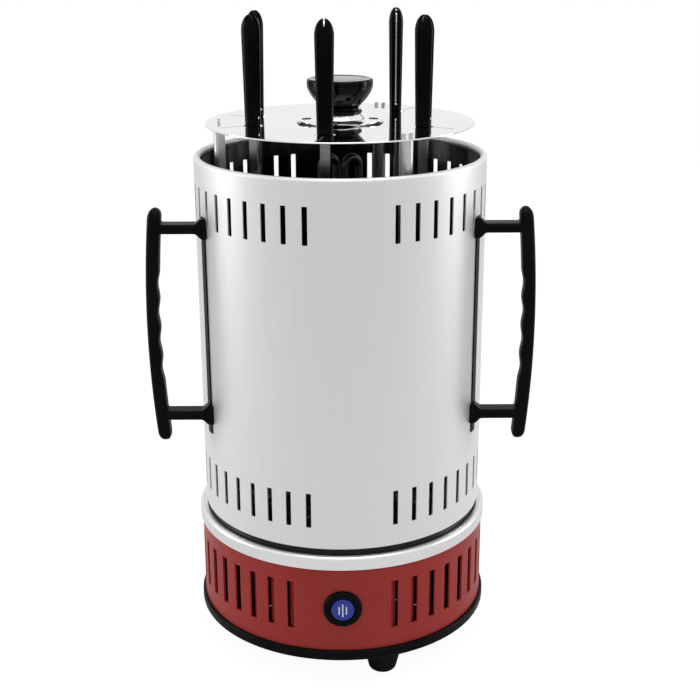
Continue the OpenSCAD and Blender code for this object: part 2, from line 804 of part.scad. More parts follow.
module motor_pinion() {
  color("whitesmoke") on_bearing(pinion_bearing, pinion_place)
    rotate([0, 0, mesh_turn(pinion_bearing, pinion_teeth) - pinion_bearing]) {
      translate([0, 0, gear_z]) linear_extrude(gear_w) gear_outline(pinion_teeth);
      translate([0, 0, gear_plate_top + gap])
        cylinder(r = pinion_hub_r, h = gear_z - gear_plate_top, $fn = 32);
      translate([0, 0, gear_plate_z - shaft_sunk + gap])
        cylinder(r = shaft_r, h = shaft_sunk + gear_plate_t + gear_lift + gear_w, $fn = 32);
    }
}

// Gear that a skewer stands in: teeth below the deck, and a keyed socket above it
module planet_gear(i) {
  b = skewer_bearings[i];
  color("whitesmoke") on_bearing(b, planet_place) difference() {
    union() {
      rotate([0, 0, mesh_turn(b, planet_teeth) - b]) translate([0, 0, gear_z])
        linear_extrude(gear_w) gear_outline(planet_teeth);
      translate([0, 0, gear_plate_top + gap])
        cylinder(r = socket_r, h = socket_top - gear_plate_top - gap);
      cylinder_above(socket_top, spout_r, spout_h);
    }
    cylinder_above(gear_plate_top, axle_r + run, axle_top + gap - gear_plate_top);
    rotate([0, 0, skewer_turns[i]]) translate([0, 0, socket_floor])
      linear_extrude(socket_top + spout_h + over - socket_floor)
        square([blade_w + 2 * gap, blade_t + 2 * (blade_lip + gap)], center = true);
  }
}
module cylinder_above(z, r, h) {
  translate([0, 0, z]) cylinder(r = r, h = h);
}
module planet_gear_1() planet_gear(0);
module planet_gear_2() planet_gear(1);
module planet_gear_3() planet_gear(2);
module planet_gear_4() planet_gear(3);
module planet_gear_5() planet_gear(4);
module planet_gear_6() planet_gear(5);

// Shallow cup that catches the fat of one skewer, and turns with it
module grease_cup(i) {
  color("gainsboro") on_bearing(skewer_bearings[i], planet_place, socket_top)
    rotate_extrude() polygon(concat(
      [[spout_r + run, 0], [cup_r - cup_round, 0]],
      arc([cup_r - cup_round, cup_round], cup_round, -90, 0, 4),
      [[cup_r, cup_h - cup_t], [cup_r + cup_lip, cup_h - cup_t], [cup_r + cup_lip, cup_h],
       [cup_r - cup_t, cup_h]],
      arc([cup_r - cup_round, cup_round], cup_round - cup_t, 0, -90, 4),
      [[spout_r + run + cup_t, cup_t], [spout_r + run + cup_t, spout_h - over],
       [spout_r + run, spout_h - over]]));
}
module grease_cup_1() grease_cup(0);
module grease_cup_2() grease_cup(1);
module grease_cup_3() grease_cup(2);
module grease_cup_4() grease_cup(3);
module grease_cup_5() grease_cup(4);
module grease_cup_6() grease_cup(5);

// Flat steel blade with raised edges, a point below and a tang above
module skewer_blade(i) {
  blade_l = skewer_grip_z - tip_z;
  tang_in = skewer_grip_low_r - groove_d;
  color("silver") on_bearing(skewer_bearings[i], planet_place, tip_z)
    rotate([0, 0, skewer_turns[i]]) {
      intersection() {
        linear_extrude(blade_l) union() {
          square([blade_w, blade_t], center = true);
          for (s = [-1, 1]) translate([s * (blade_w - blade_lip) / 2, blade_lip / 2])
            square([blade_lip, blade_t + blade_lip], center = true);
        }
        rotate([90, 0, 0]) translate([0, 0, -blade_w]) linear_extrude(2 * blade_w)
          polygon([[0, 0], [blade_w / 2, tip_l], [blade_w / 2, blade_l], [-blade_w / 2, blade_l],
                   [-blade_w / 2, tip_l]]);
      }
      translate([-blade_w / 2 + blade_t, -blade_t / 2, blade_l - over])
        cube([tang_in + blade_w / 2 - blade_t, blade_t, tang_l + over]);
    }
}
module skewer_blade_1() skewer_blade(0);
module skewer_blade_2() skewer_blade(1);
module skewer_blade_3() skewer_blade(2);
module skewer_blade_4() skewer_blade(3);
module skewer_blade_5() skewer_blade(4);

// Moulded handle: a flattened round bar, wider at the top, with a groove along one edge
module skewer_handle(i) {
  h = skewer_grip_h;
  slot_w = 2 * (blade_t / 2 + snug);
  color([0.03, 0.03, 0.03]) on_bearing(skewer_bearings[i], planet_place, skewer_grip_z)
    rotate([0, 0, skewer_turns[i]]) difference() {
      intersection() {
        rotate_extrude() polygon(concat(
          [[0, 0], [skewer_grip_low_r - foot_edge, 0], [skewer_grip_low_r, foot_edge]],
          [for (a = [0 : 15 : 75])
            [skewer_grip_top_r * cos(a), h - dome_h + dome_h * sin(a)]],
          [[0, h]]));
        translate([-skewer_grip_top_r, -skewer_grip_top_r * skewer_flat_share, 0])
          cube([2 * skewer_grip_top_r, 2 * skewer_grip_top_r * skewer_flat_share, h]);
      }
      translate([skewer_grip_low_r - groove_d, -groove_w / 2, groove_start])
        cube([2 * groove_d, groove_w, h]);
      translate([-blade_w / 2 + blade_t - snug, -slot_w / 2, -over])
        cube([skewer_grip_low_r - groove_d + blade_w / 2 - blade_t + 2 * snug, slot_w,
              tang_l + over + snug]);
    }
}
module skewer_handle_1() skewer_handle(0);
module skewer_handle_2() skewer_handle(1);
module skewer_handle_3() skewer_handle(2);
module skewer_handle_4() skewer_handle(3);
module skewer_handle_5() skewer_handle(4);

module drum_shell() {
  inner = drum_r - drum_t;
  color("gainsboro") difference() {
    rotate_extrude($fn = 120) {
      translate([inner, drum_z]) square([drum_t, drum_h - bead_r]);
      translate([inner - fold_w, drum_z]) square([fold_w + drum_t, drum_t]);
      translate([drum_r - bead_r, rim_z - bead_r]) circle(r = bead_r, $fn = 32);
    }
    for (z = [vent_low_z, vent_high_z], half = [0, 180], s = [-1, 1], k = [0 : vent_count - 1])
      rotate([0, 0, vent_turn + half + s * (vent_plain + k * vent_step)]) translate([0, 0, z])
        radial_box(vent_w, inner - over, drum_r + over, vent_h);
    for (s = [-1, 1]) rotate([0, 0, s * handle_bearing]) translate([0, 0, handle_slot_z])
      radial_box(handle_slot_w, inner - over, drum_r + over, handle_slot_h);
    for (s = [-1, 1], end = [-1, 1]) on_bearing(s * handle_bearing, inner - over, arm_z(end))
      rotate([90, 0, 0]) cylinder(r = screw_r + snug, h = drum_t + 2 * over, $fn = 32);
  }
}

// Height of a side handle's arm above or below the middle of the arms
function arm_z(s) = arm_mid_z + s * arm_span / 2;

module side_handle() {
  color([0.06, 0.06, 0.065]) difference() {
    union() {
      difference() {
        union() {
          for (s = [-1, 1]) handle_arm(arm_z(s));
          handle_grip();
        }
        translate([0, 0, drum_z]) cylinder(r = drum_r + snug, h = drum_h, $fn = 120);
      }
      rotate([0, 0, handle_bearing]) intersection() {
        translate([0, 0, handle_slot_z + snug])
          radial_box(handle_slot_w - 2 * snug, drum_r - 2 * drum_t, drum_r + 2 * spine_out,
                     handle_slot_h - 2 * snug);
        translate([0, 0, handle_slot_z]) ring(drum_r - drum_t, drum_r + spine_out, handle_slot_h);
      }
    }
    for (s = [-1, 1]) on_bearing(handle_bearing, drum_r - 2 * drum_t, arm_z(s))
      rotate([90, 0, 0]) cylinder(r = screw_r + snug, h = handle_screw_l, $fn = 32);
  }
}

module ring(r0, r1, h) {
  difference() {
    cylinder(r = r1, h = h, $fn = 120);
    translate([0, 0, -over]) cylinder(r = r0, h = h + 2 * over, $fn = 120);
  }
}

// Arm that runs sideways from the drum to the grip, flared where it meets the drum
module handle_arm(z) {
  root = drum_r * sin(handle_bearing) - arm_root;
  tip = grip_reach;
  translate([0, arm_y + arm_d / 2, z]) rotate([90, 0, 0]) linear_extrude(arm_d)
    polygon([[root, -arm_h / 2 - arm_flare], [root + arm_root + over, -arm_h / 2 - arm_flare],
             [root + arm_root + over + arm_flare, -arm_h / 2], [tip, -arm_h / 2], [tip, arm_h / 2],
             [root + arm_root + over + arm_flare, arm_h / 2],
             [root + arm_root + over, arm_h / 2 + arm_flare], [root, arm_h / 2 + arm_flare]]);
}

// Bowed grip with round ends and four shallow hollows for the fingers, as rings of points
module handle_grip() {
  rings = [for (i = [0 : grip_rings]) let (u = 2 * i / grip_rings - 1)
    grip_ring(grip_h / 2 * (grip_even_share * u + (1 - grip_even_share) * sin(90 * u)))];
  translate([0, arm_y, grip_z + grip_h / 2]) polyhedron(
    points = [for (ring = rings) each ring],
    faces = concat(
      [[for (j = [0 : grip_sides - 1]) j]],
      [[for (j = [grip_sides - 1 : -1 : 0]) grip_rings * grip_sides + j]],
      [for (i = [0 : grip_rings - 1], j = [0 : grip_sides - 1])
        let (a = i * grip_sides, k = (j + 1) % grip_sides)
        [a + j, a + grip_sides + j, a + grip_sides + k, a + k]]));
}
function end_share(z) =
  let (u = max(0, (abs(z) - grip_h / 2 + grip_end) / grip_end)) sqrt(max(grip_tip_share, 1 - u * u));
function finger_hollow(z) =
  abs(z) < 2 * finger_step ? finger_d * (1 - cos(360 * z / finger_step)) / 2 : 0;
function grip_ring(z) =
  let (mid = grip_reach + grip_bow / 2 - grip_bow * pow(2 * z / grip_h, 2),
       outer = mid + grip_t / 2 * end_share(z), inner = mid - grip_t / 2 * end_share(z) + finger_hollow(z))
  [for (j = [0 : grip_sides - 1]) let (a = 360 * (j + 0.5) / grip_sides)
    [(outer + inner) / 2 + (outer - inner) / 2 * squared(cos(a)),
     grip_depth / 2 * end_share(z) * squared(sin(a)), z]];
function squared(v) = sign(v) * pow(abs(v), grip_square_share);

module handle_left() mirror([1, 0, 0]) side_handle();
module handle_right() side_handle();

module handle_plates() {
  h = handle_slot_h + 2 * clamp_over;
  color("silver") for (side = [-1, 1]) rotate([0, 0, side * handle_bearing]) difference() {
    intersection() {
      translate([0, 0, handle_slot_z - clamp_over])
        radial_box(clamp_w, drum_r - 4 * clamp_t, drum_r, h);
      translate([0, 0, handle_slot_z - clamp_over])
        ring(drum_r - drum_t - clamp_t - snug, drum_r - drum_t - snug, h);
    }
    for (s = [-1, 1]) translate([0, -drum_r + 4 * clamp_t, arm_z(s)]) rotate([90, 0, 0])
      cylinder(r = screw_r + snug, h = 4 * clamp_t, $fn = 32);
  }
}

module handle_screws() {
  color("silver") for (side = [-1, 1], s = [-1, 1])
    rotate([0, 0, side * handle_bearing])
      translate([0, -drum_r + drum_t + clamp_t + 2 * snug, arm_z(s)]) rotate([-90, 0, 0])
        pan_screw(handle_screw_l - 2 * clamp_t);
}

module rack_plate() {
  color([0.9, 0.9, 0.92]) difference() {
    translate([0, 0, plate_z]) rotate_extrude($fn = 120) {
      square([plate_r - plate_t / 2, plate_t]);
      translate([plate_r - plate_t / 2, plate_t / 2]) circle(d = plate_t, $fn = 24);
    }
    for (b = skewer_bearings) {
      on_bearing(b, planet_place, plate_z - over) cylinder(r = plate_hole_r, h = plate_t + 2 * over);
      rotate([0, 0, b]) translate([0, 0, plate_z - over])
        radial_box(slit_w, planet_place, slit_end, plate_t + 2 * over);
    }
    for (b = post_bearings, s = [-1, 1])
      on_bearing(b, post_place, plate_z - over) translate([s * post_tab_x, 0, 0])
        translate([-tab_w / 2 - snug, -tab_d / 2 - snug, 0])
          cube([tab_w + 2 * snug, tab_d + 2 * snug, plate_t + 2 * over]);
    translate([0, 0, plate_z - over]) cylinder(r = knob_bolt_r + snug, h = plate_t + 2 * over);
  }
}

// Half-round steel channels, open towards the heater, each with two tabs through the plate
module rack_posts() {
  foot = deck_top + gap;
  color("silver") for (b = post_bearings) on_bearing(b, post_place, foot) {
    linear_extrude(plate_z - foot) difference() {
      union() {
        circle(r = post_w / 2);
        translate([-post_w / 2, 0]) square([post_w, post_w / 2]);
      }
      circle(r = post_w / 2 - post_t);
      translate([-post_w / 2 + post_t, 0]) square([post_w - 2 * post_t, post_w]);
    }
    for (s = [-1, 1]) translate([s * post_tab_x - tab_w / 2, -tab_d / 2, plate_z - foot - over])
      cube([tab_w, tab_d, over + plate_t + tab_up]);
  }
}

module rack_knob() {
  color([0.02, 0.02, 0.02]) translate([0, 0, plate_top]) difference() {
    rotate_extrude() polygon(concat(
      [[0, knob_foot_h], [knob_bead_r - bead_edge, knob_foot_h]],
      arc([knob_bead_r - bead_edge, knob_foot_h + bead_edge], bead_edge, -90, 90, 6),
      [[knob_neck_r, knob_neck_z - over]],
      [for (i = [0 : knob_steps]) let (u = i / knob_steps)
        [knob_neck_r + (knob_r - knob_neck_r) * sin(90 * u),
         knob_neck_z + (knob_widest - knob_neck_z) * u]],
      arc([knob_r - knob_edge, knob_h - knob_edge], knob_edge, 0, 80, 5),
      [[knob_r - 3 * knob_edge, knob_h - knob_dish / 3], [0, knob_h - knob_dish]]));
    translate([0, 0, knob_foot_h - over])
      cylinder(r = knob_bolt_r + snug, h = knob_bolt_in + over, $fn = 32);
  }
}

// Flared chrome flange under the knob, with long cut-outs near its edge
module knob_flange() {
  neck = knob_bead_r - over;
  color([0.92, 0.92, 0.93]) translate([0, 0, plate_top]) difference() {
    rotate_extrude() polygon(concat(
      [[knob_bolt_r + snug, knob_foot_h], [knob_bolt_r + snug, knob_foot_h - flange_t],
       [neck - 2 * flange_t, knob_foot_h - flange_t]],
      [for (a = [0 : 15 : 90])
        [neck - flange_t + (flange_r - neck) * (1 - cos(a)),
         gap + (knob_foot_h - 2 * flange_t - gap) * (1 - sin(a))]],
      [for (a = [90 : -15 : 0])
        [neck + (flange_r - neck) * (1 - cos(a)),
         gap + flange_t + (knob_foot_h - 2 * flange_t - gap) * (1 - sin(a))]],
      [[neck - flange_t, knob_foot_h]]));
    for (b = [0 : 60 : 300]) on_bearing(b, flange_r - 2 * flange_cut_w, -over)
      rotate([0, 0, 90]) radial_slot(flange_cut_w, flange_cut_l, knob_foot_h + 2 * over);
  }
}

module knob_screw() {
  color("silver") translate([0, 0, plate_z - gap]) {
    translate([0, 0, -knob_bolt_r]) cylinder(r = 2 * knob_bolt_r, h = knob_bolt_r, $fn = 32);
    cylinder(r = knob_bolt_r, h = gap + plate_t + knob_foot_h + knob_bolt_in - over, $fn = 32);
  }
}

base_pan();
feet();
foot_screws();
base_housing();
housing_screws();
trim_ring();
deck_plate();
deck_screws();
gear_plate();
gear_plate_screws();
gear_axles();
sun_bearing();
heater_base();
heater_element();
heater_terminals();
drive_motor();
motor_screws();
terminal_block();
switch_body();
switch_bezel();
cord_gland();
button_cap();
sun_gear();
motor_pinion();
planet_gear_1();
planet_gear_2();
planet_gear_3();
planet_gear_4();
planet_gear_5();
planet_gear_6();
grease_cup_1();
grease_cup_2();
grease_cup_3();
grease_cup_4();
grease_cup_5();
grease_cup_6();
skewer_blade_1();
skewer_blade_2();
skewer_blade_3();
skewer_blade_4();
skewer_blade_5();
skewer_handle_1();
skewer_handle_2();
skewer_handle_3();
skewer_handle_4();
skewer_handle_5();
drum_shell();
handle_left();
handle_right();
handle_plates();
handle_screws();
rack_plate();
rack_posts();
rack_knob();
knob_flange();
knob_screw();
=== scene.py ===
# %% [markdown]
# # An upright electric skewer grill
# The grill is a steel drum that lifts off a louvred base. Round a heater in the middle, skewers stand
# in geared sockets, and a mirror-bright plate with a knob steadies their handles. The construction
# comes from the imported frame, which is loaded first and never moved. Everything below gives it its
# looks: new meshes where a pressed, rolled or moulded surface needs more than plain solids, and a
# material of its own for each finish.

# %% Load the frame
import json
import math

import bpy
from mathutils import Matrix, Vector

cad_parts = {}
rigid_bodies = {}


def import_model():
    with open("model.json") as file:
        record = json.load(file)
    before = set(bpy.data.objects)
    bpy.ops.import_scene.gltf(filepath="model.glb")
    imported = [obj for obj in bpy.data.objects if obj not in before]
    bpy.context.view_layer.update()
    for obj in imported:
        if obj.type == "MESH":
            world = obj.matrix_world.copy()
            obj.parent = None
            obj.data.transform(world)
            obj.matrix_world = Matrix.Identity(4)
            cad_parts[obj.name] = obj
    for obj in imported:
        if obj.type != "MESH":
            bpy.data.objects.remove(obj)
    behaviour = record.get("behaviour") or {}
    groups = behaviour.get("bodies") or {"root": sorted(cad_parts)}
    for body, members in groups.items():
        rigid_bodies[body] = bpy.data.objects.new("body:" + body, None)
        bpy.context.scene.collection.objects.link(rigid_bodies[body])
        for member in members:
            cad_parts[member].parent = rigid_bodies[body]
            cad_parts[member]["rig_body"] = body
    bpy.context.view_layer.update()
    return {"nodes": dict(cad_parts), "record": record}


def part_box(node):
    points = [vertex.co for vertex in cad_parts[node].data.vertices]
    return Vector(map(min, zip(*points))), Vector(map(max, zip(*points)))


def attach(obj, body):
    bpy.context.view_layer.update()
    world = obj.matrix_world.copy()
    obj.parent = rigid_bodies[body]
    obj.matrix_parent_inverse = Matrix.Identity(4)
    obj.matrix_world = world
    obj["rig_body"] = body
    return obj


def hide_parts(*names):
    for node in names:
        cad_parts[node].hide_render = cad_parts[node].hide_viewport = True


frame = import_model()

nodes = frame["nodes"]

# %% [markdown]
# ## Sizes that come from the frame
# A piece that has to sit on the construction takes its sizes from it. One millimetre gets a name, and
# the radii and heights that many pieces share are read from the boxes of the nodes.

# %% Read the main sizes
MM = 0.001
drum_low, drum_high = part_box("drum_shell")
drum_r = drum_high.x
rim_z = drum_high.z
plate_low, plate_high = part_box("rack_plate")
plate_top = plate_high.z
base_low, base_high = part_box("base_housing")
housing_r = base_high.x
print("drum radius", round(drum_r, 4), "rim height", round(rim_z, 4), "plate top", round(plate_top, 4))

# %% [markdown]
# ## The camera
# The photograph was taken from a little above, at arm's length, with a short telephoto. Pitch, heading
# and roll were worked out from the rim, the base and the handles, and the same three turns place the
# camera here. Depth of field stays off and the lens isn't shifted.

# %% Place the camera
camera_back = 923.1 * MM
camera_over_rim = 156.8 * MM
camera_pitch = math.radians(18.40)
camera_heading = math.radians(-0.407)
camera_roll = math.radians(-0.187)
sensor_mm = 36
lens_mm = 66.29
far_end = 20
bpy.ops.object.select_all(action="DESELECT")
bpy.ops.object.camera_add()
camera = bpy.context.object
camera.name = "camera"
camera.data.sensor_width = sensor_mm
camera.data.lens = lens_mm
camera.data.dof.use_dof = False
camera.data.clip_end = far_end
aim = (Matrix.Rotation(camera_heading, 4, "Z")
       @ Matrix.Rotation(math.pi / 2 - camera_pitch, 4, "X")
       @ Matrix.Rotation(camera_roll, 4, "Z"))
camera.matrix_world = Matrix.Translation((0, -camera_back, rim_z + camera_over_rim)) @ aim
bpy.context.scene.camera = camera
print("camera at", [round(v, 3) for v in camera.location])

# %% [markdown]
# ## Studio: floor, world and lamps
# A white room does most of the lighting, because steel shows what stands round it. The room is white
# where the camera, a reflection or a view through something meets it. To the rest of the scene it is
# a plain, even light. The floor is a pale sheet. It glows for the camera by nine tenths, which makes it
# white, and the last tenth is lit paper, which keeps the soft shadow under the base.
# Two tall, narrow lamps, one on each side, draw thin highlights on the black handles and lift the
# edges of the drum. A broad one overhead lights the plate and the ring.

# %% White room
def background(tree, strength):
    """A plain white background of one strength."""
    made = tree.nodes.new("ShaderNodeBackground")
    made.inputs["Color"].default_value = white
    made.inputs["Strength"].default_value = strength
    return made.outputs[0]


def mixed(tree, share, first, second):
    """Two shaders mixed by a linked share."""
    made = tree.nodes.new("ShaderNodeMixShader")
    tree.links.new(share, made.inputs[0])
    tree.links.new(first, made.inputs[1])
    tree.links.new(second, made.inputs[2])
    return made.outputs[0]


scene = bpy.context.scene
scene.view_settings.view_transform = "Standard"
room_light = 0.52
room_glow = 0.95
room_white = 1.0
white = (1, 1, 1, 1)
world = bpy.data.worlds.new("white_room")
scene.world = world
world.use_nodes = True
tree = world.node_tree
tree.nodes.clear()
rays = tree.nodes.new("ShaderNodeLightPath")
seen = tree.nodes.new("ShaderNodeMath")
seen.operation = "MAXIMUM"
tree.links.new(rays.outputs["Is Camera Ray"], seen.inputs[0])
tree.links.new(rays.outputs["Is Transmission Ray"], seen.inputs[1])
lit = mixed(tree, rays.outputs["Is Glossy Ray"], background(tree, room_light), background(tree, room_glow))
room_out = tree.nodes.new("ShaderNodeOutputWorld")
tree.links.new(mixed(tree, seen.outputs[0], lit, background(tree, room_white)), room_out.inputs["Surface"])

# %% Pale floor
floor_size = 8
floor_glow = 1.06
glow_share = 0.9
bpy.ops.object.select_all(action="DESELECT")
bpy.ops.mesh.primitive_plane_add(size=floor_size, location=(0, 0, 0))
floor = bpy.context.object
floor.name = "floor"
paper = bpy.data.materials.new("pale_floor")
paper.use_nodes = True
tree = paper.node_tree
tree.nodes.clear()
lit_paper = tree.nodes.new("ShaderNodeBsdfDiffuse")
lit_paper.inputs["Color"].default_value = (0.9, 0.9, 0.9, 1)
glow = tree.nodes.new("ShaderNodeEmission")
glow.inputs["Color"].default_value = white
glow.inputs["Strength"].default_value = floor_glow
rays = tree.nodes.new("ShaderNodeLightPath")
seen = tree.nodes.new("ShaderNodeMath")
seen.operation = "MULTIPLY"
seen.inputs[1].default_value = glow_share
tree.links.new(rays.outputs["Is Camera Ray"], seen.inputs[0])
paper_out = tree.nodes.new("ShaderNodeOutputMaterial")
glowing = mixed(tree, seen.outputs[0], lit_paper.outputs[0], glow.outputs[0])
tree.links.new(glowing, paper_out.inputs["Surface"])
floor.data.materials.append(paper)


# %% Soft lamps
def lamp(name, place, wide, tall, watts):
    """A soft box that faces the middle of the grill."""
    bpy.ops.object.select_all(action="DESELECT")
    bpy.ops.object.light_add(type="AREA", location=place)
    light = bpy.context.object
    light.name = name
    light.data.shape = "RECTANGLE"
    light.data.size = wide
    light.data.size_y = tall
    light.data.energy = watts
    towards = Vector((0, 0, rim_z / 2)) - Vector(place)
    light.rotation_euler = towards.to_track_quat("-Z", "Y").to_euler()
    return light


lamp("strip_left", (-1.7, 0.15, 0.6), 0.5, 1.2, 8)
lamp("strip_right", (1.75, 0.25, 0.6), 0.5, 1.2, 8)
lamp("lamp_top", (0.1, -0.3, 1.9), 1.2, 1.2, 12)
print("lamps and room ready")

# %% [markdown]
# ## Working by hand, from code
# The operators of edit mode act on whatever is selected, so each helper first clears the selection.
# The lathe is the one used most: a single point is extruded along an outline, one step after another,
# and the line is spun round the axis. Doubles are merged after the spin, and the normals are
# recalculated, because a spin can turn a shape inside out.

# %% Helpers for selecting and finishing
def alone(piece):
    """Selects one piece and nothing else, in object mode."""
    if bpy.context.mode != "OBJECT":
        bpy.ops.object.mode_set(mode="OBJECT")
    bpy.ops.object.select_all(action="DESELECT")
    piece.select_set(True)
    bpy.context.view_layer.objects.active = piece


def settle(piece):
    """Puts a piece's place, turn and size into its mesh."""
    alone(piece)
    bpy.ops.object.transform_apply(location=True, rotation=True, scale=True)
    return piece


def modify(piece, kind, **settings):
    """Adds a modifier, sets it and applies it."""
    alone(piece)
    bpy.ops.object.modifier_add(type=kind)
    modifier = piece.modifiers[-1]
    for key, value in settings.items():
        setattr(modifier, key, value)
    bpy.ops.object.modifier_apply(modifier=modifier.name)
    return piece


def clean(piece, near=0.004 * MM):
    """Merges doubles and points the faces outwards."""
    alone(piece)
    bpy.ops.object.mode_set(mode="EDIT")
    bpy.ops.mesh.select_all(action="SELECT")
    bpy.ops.mesh.remove_doubles(threshold=near)
    bpy.ops.mesh.normals_make_consistent(inside=False)
    bpy.ops.object.mode_set(mode="OBJECT")
    return piece


def twin(piece, name):
    """A copy with a mesh of its own."""
    alone(piece)
    bpy.ops.object.duplicate(linked=False)
    bpy.context.object.name = name
    return bpy.context.object


def joined(pieces, name):
    """Several pieces as one."""
    alone(pieces[0])
    for piece in pieces[1:]:
        piece.select_set(True)
    bpy.ops.object.join()
    pieces[0].name = name
    return pieces[0]


# %% Lathe
def arc(centre, r, start, end, steps):
    """Points of an arc, in degrees anticlockwise from the first axis."""
    turns = [math.radians(start + (end - start) * i / steps) for i in range(steps + 1)]
    return [(centre[0] + r * math.cos(a), centre[1] + r * math.sin(a)) for a in turns]


def lathe(name, outline, steps=180):
    """Spins an outline of (radius, height) points once round the Z axis."""
    bpy.ops.object.select_all(action="DESELECT")
    bpy.ops.mesh.primitive_plane_add(size=MM)
    piece = bpy.context.object
    piece.name = name
    bpy.ops.object.mode_set(mode="EDIT")
    bpy.ops.mesh.select_all(action="SELECT")
    bpy.ops.mesh.merge(type="CENTER")
    bpy.ops.transform.translate(value=(outline[0][0], 0, outline[0][1]))
    for here, there in zip(outline, outline[1:]):
        step = (there[0] - here[0], 0, there[1] - here[1])
        bpy.ops.mesh.extrude_region_move(TRANSFORM_OT_translate={"value": step})
    bpy.ops.mesh.select_all(action="SELECT")
    bpy.ops.mesh.spin(steps=steps, angle=2 * math.pi, center=(0, 0, 0), axis=(0, 0, 1))
    bpy.ops.object.mode_set(mode="OBJECT")
    return clean(piece)


# %% Box, cutter and CAD copy
def block(name, low, high):
    """A box from its lowest to its highest corner."""
    bpy.ops.object.select_all(action="DESELECT")
    middle = [(a + b) / 2 for a, b in zip(low, high)]
    bpy.ops.mesh.primitive_cube_add(size=1, location=middle)
    piece = bpy.context.object
    piece.scale = [b - a for a, b in zip(low, high)]
    piece.name = name
    return settle(piece)


def round_bearings(piece, bearings, name):
    """Copies of a piece at several bearings about the Z axis, joined."""
    copies = []
    for bearing in bearings:
        copy = twin(piece, name)
        copy.rotation_euler.z = math.radians(bearing)
        copies.append(settle(copy))
    bpy.data.objects.remove(piece)
    return joined(copies, name)


def cut(piece, cutter):
    """Takes a cutter's volume out of a piece."""
    modify(piece, "BOOLEAN", object=cutter, operation="DIFFERENCE", solver="EXACT")
    bpy.data.objects.remove(cutter)
    return piece


merge_near = 0.002 * MM
flat_seam = math.radians(0.2)


def softened(node, width, angle=30, segments=2):
    """A copy of a node from the frame, merged, cleaned of flat seams and with its edges broken."""
    piece = bpy.data.objects.new(node + "_soft", nodes[node].data.copy())
    scene.collection.objects.link(piece)
    alone(piece)
    bpy.ops.object.mode_set(mode="EDIT")
    bpy.ops.mesh.select_all(action="SELECT")
    bpy.ops.mesh.remove_doubles(threshold=merge_near)
    bpy.ops.mesh.dissolve_limited(angle_limit=flat_seam)
    bpy.ops.object.mode_set(mode="OBJECT")
    modify(piece, "BEVEL", width=width, segments=segments, limit_method="ANGLE",
           angle_limit=math.radians(angle), use_clamp_overlap=True, harden_normals=False)
    return piece


# %% [markdown]
# ## Effects that several finishes share
# Three node groups hold what more than one finish uses. The first is a fine cloudy grain, for moulded
# and painted skins. The second is the grain of brushed sheet: the noise is read in bearing and height,
# and is stretched upwards on the drum and round on the ring. The third finds the corners of a
# piece with a bevelled normal, and gives a mask for wear and for the paler edges of moulded plastic.

# %% Shared node groups
def group(name, inputs, outputs):
    """An empty shader node group with named sockets."""
    made = bpy.data.node_groups.new(name, "ShaderNodeTree")
    for label, kind, value in inputs:
        socket = made.interface.new_socket(label, in_out="INPUT", socket_type=kind)
        socket.default_value = value
    for label, kind in outputs:
        made.interface.new_socket(label, in_out="OUTPUT", socket_type=kind)
    return made, made.nodes.new("NodeGroupInput"), made.nodes.new("NodeGroupOutput")


def math_node(tree, operation, first, second):
    """A Math node with each input linked or set."""
    made = tree.nodes.new("ShaderNodeMath")
    made.operation = operation
    for socket, value in zip(made.inputs, (first, second)):
        if isinstance(value, (int, float)):
            socket.default_value = value
        else:
            tree.links.new(value, socket)
    return made.outputs[0]


grain_group, grain_in, grain_out = group(
    "fine_grain",
    [("Scale", "NodeSocketFloat", 900.0), ("Clouds", "NodeSocketFloat", 20.0)],
    [("Fine", "NodeSocketFloat"), ("Cloudy", "NodeSocketFloat")])
place = grain_group.nodes.new("ShaderNodeTexCoord")
for label, source in (("Fine", "Scale"), ("Cloudy", "Clouds")):
    noise = grain_group.nodes.new("ShaderNodeTexNoise")
    noise.inputs["Detail"].default_value = 3
    grain_group.links.new(place.outputs["Object"], noise.inputs["Vector"])
    grain_group.links.new(grain_in.outputs[source], noise.inputs["Scale"])
    grain_group.links.new(noise.outputs["Fac"], grain_out.inputs[label])

# %% Brushed grain, in bearing and height
brush_group, brush_in, brush_out = group(
    "brushed_grain",
    [("Round", "NodeSocketFloat", 260.0), ("Up", "NodeSocketFloat", 16.0)],
    [("Line", "NodeSocketFloat"), ("Drift", "NodeSocketFloat")])
place = brush_group.nodes.new("ShaderNodeTexCoord")
split = brush_group.nodes.new("ShaderNodeSeparateXYZ")
brush_group.links.new(place.outputs["Object"], split.inputs[0])
bearing = math_node(brush_group, "ARCTAN2", split.outputs["X"], split.outputs["Y"])
turned = math_node(brush_group, "MULTIPLY", bearing, brush_in.outputs["Round"])
raised = math_node(brush_group, "MULTIPLY", split.outputs["Z"], brush_in.outputs["Up"])
both = brush_group.nodes.new("ShaderNodeCombineXYZ")
brush_group.links.new(turned, both.inputs[0])
brush_group.links.new(raised, both.inputs[1])
lines = brush_group.nodes.new("ShaderNodeTexNoise")
lines.inputs["Scale"].default_value = 1.0
lines.inputs["Detail"].default_value = 4
brush_group.links.new(both.outputs[0], lines.inputs["Vector"])
brush_group.links.new(lines.outputs["Fac"], brush_out.inputs["Line"])
drift = brush_group.nodes.new("ShaderNodeTexNoise")
drift.inputs["Scale"].default_value = 9.0
brush_group.links.new(place.outputs["Object"], drift.inputs["Vector"])
brush_group.links.new(drift.outputs["Fac"], brush_out.inputs["Drift"])

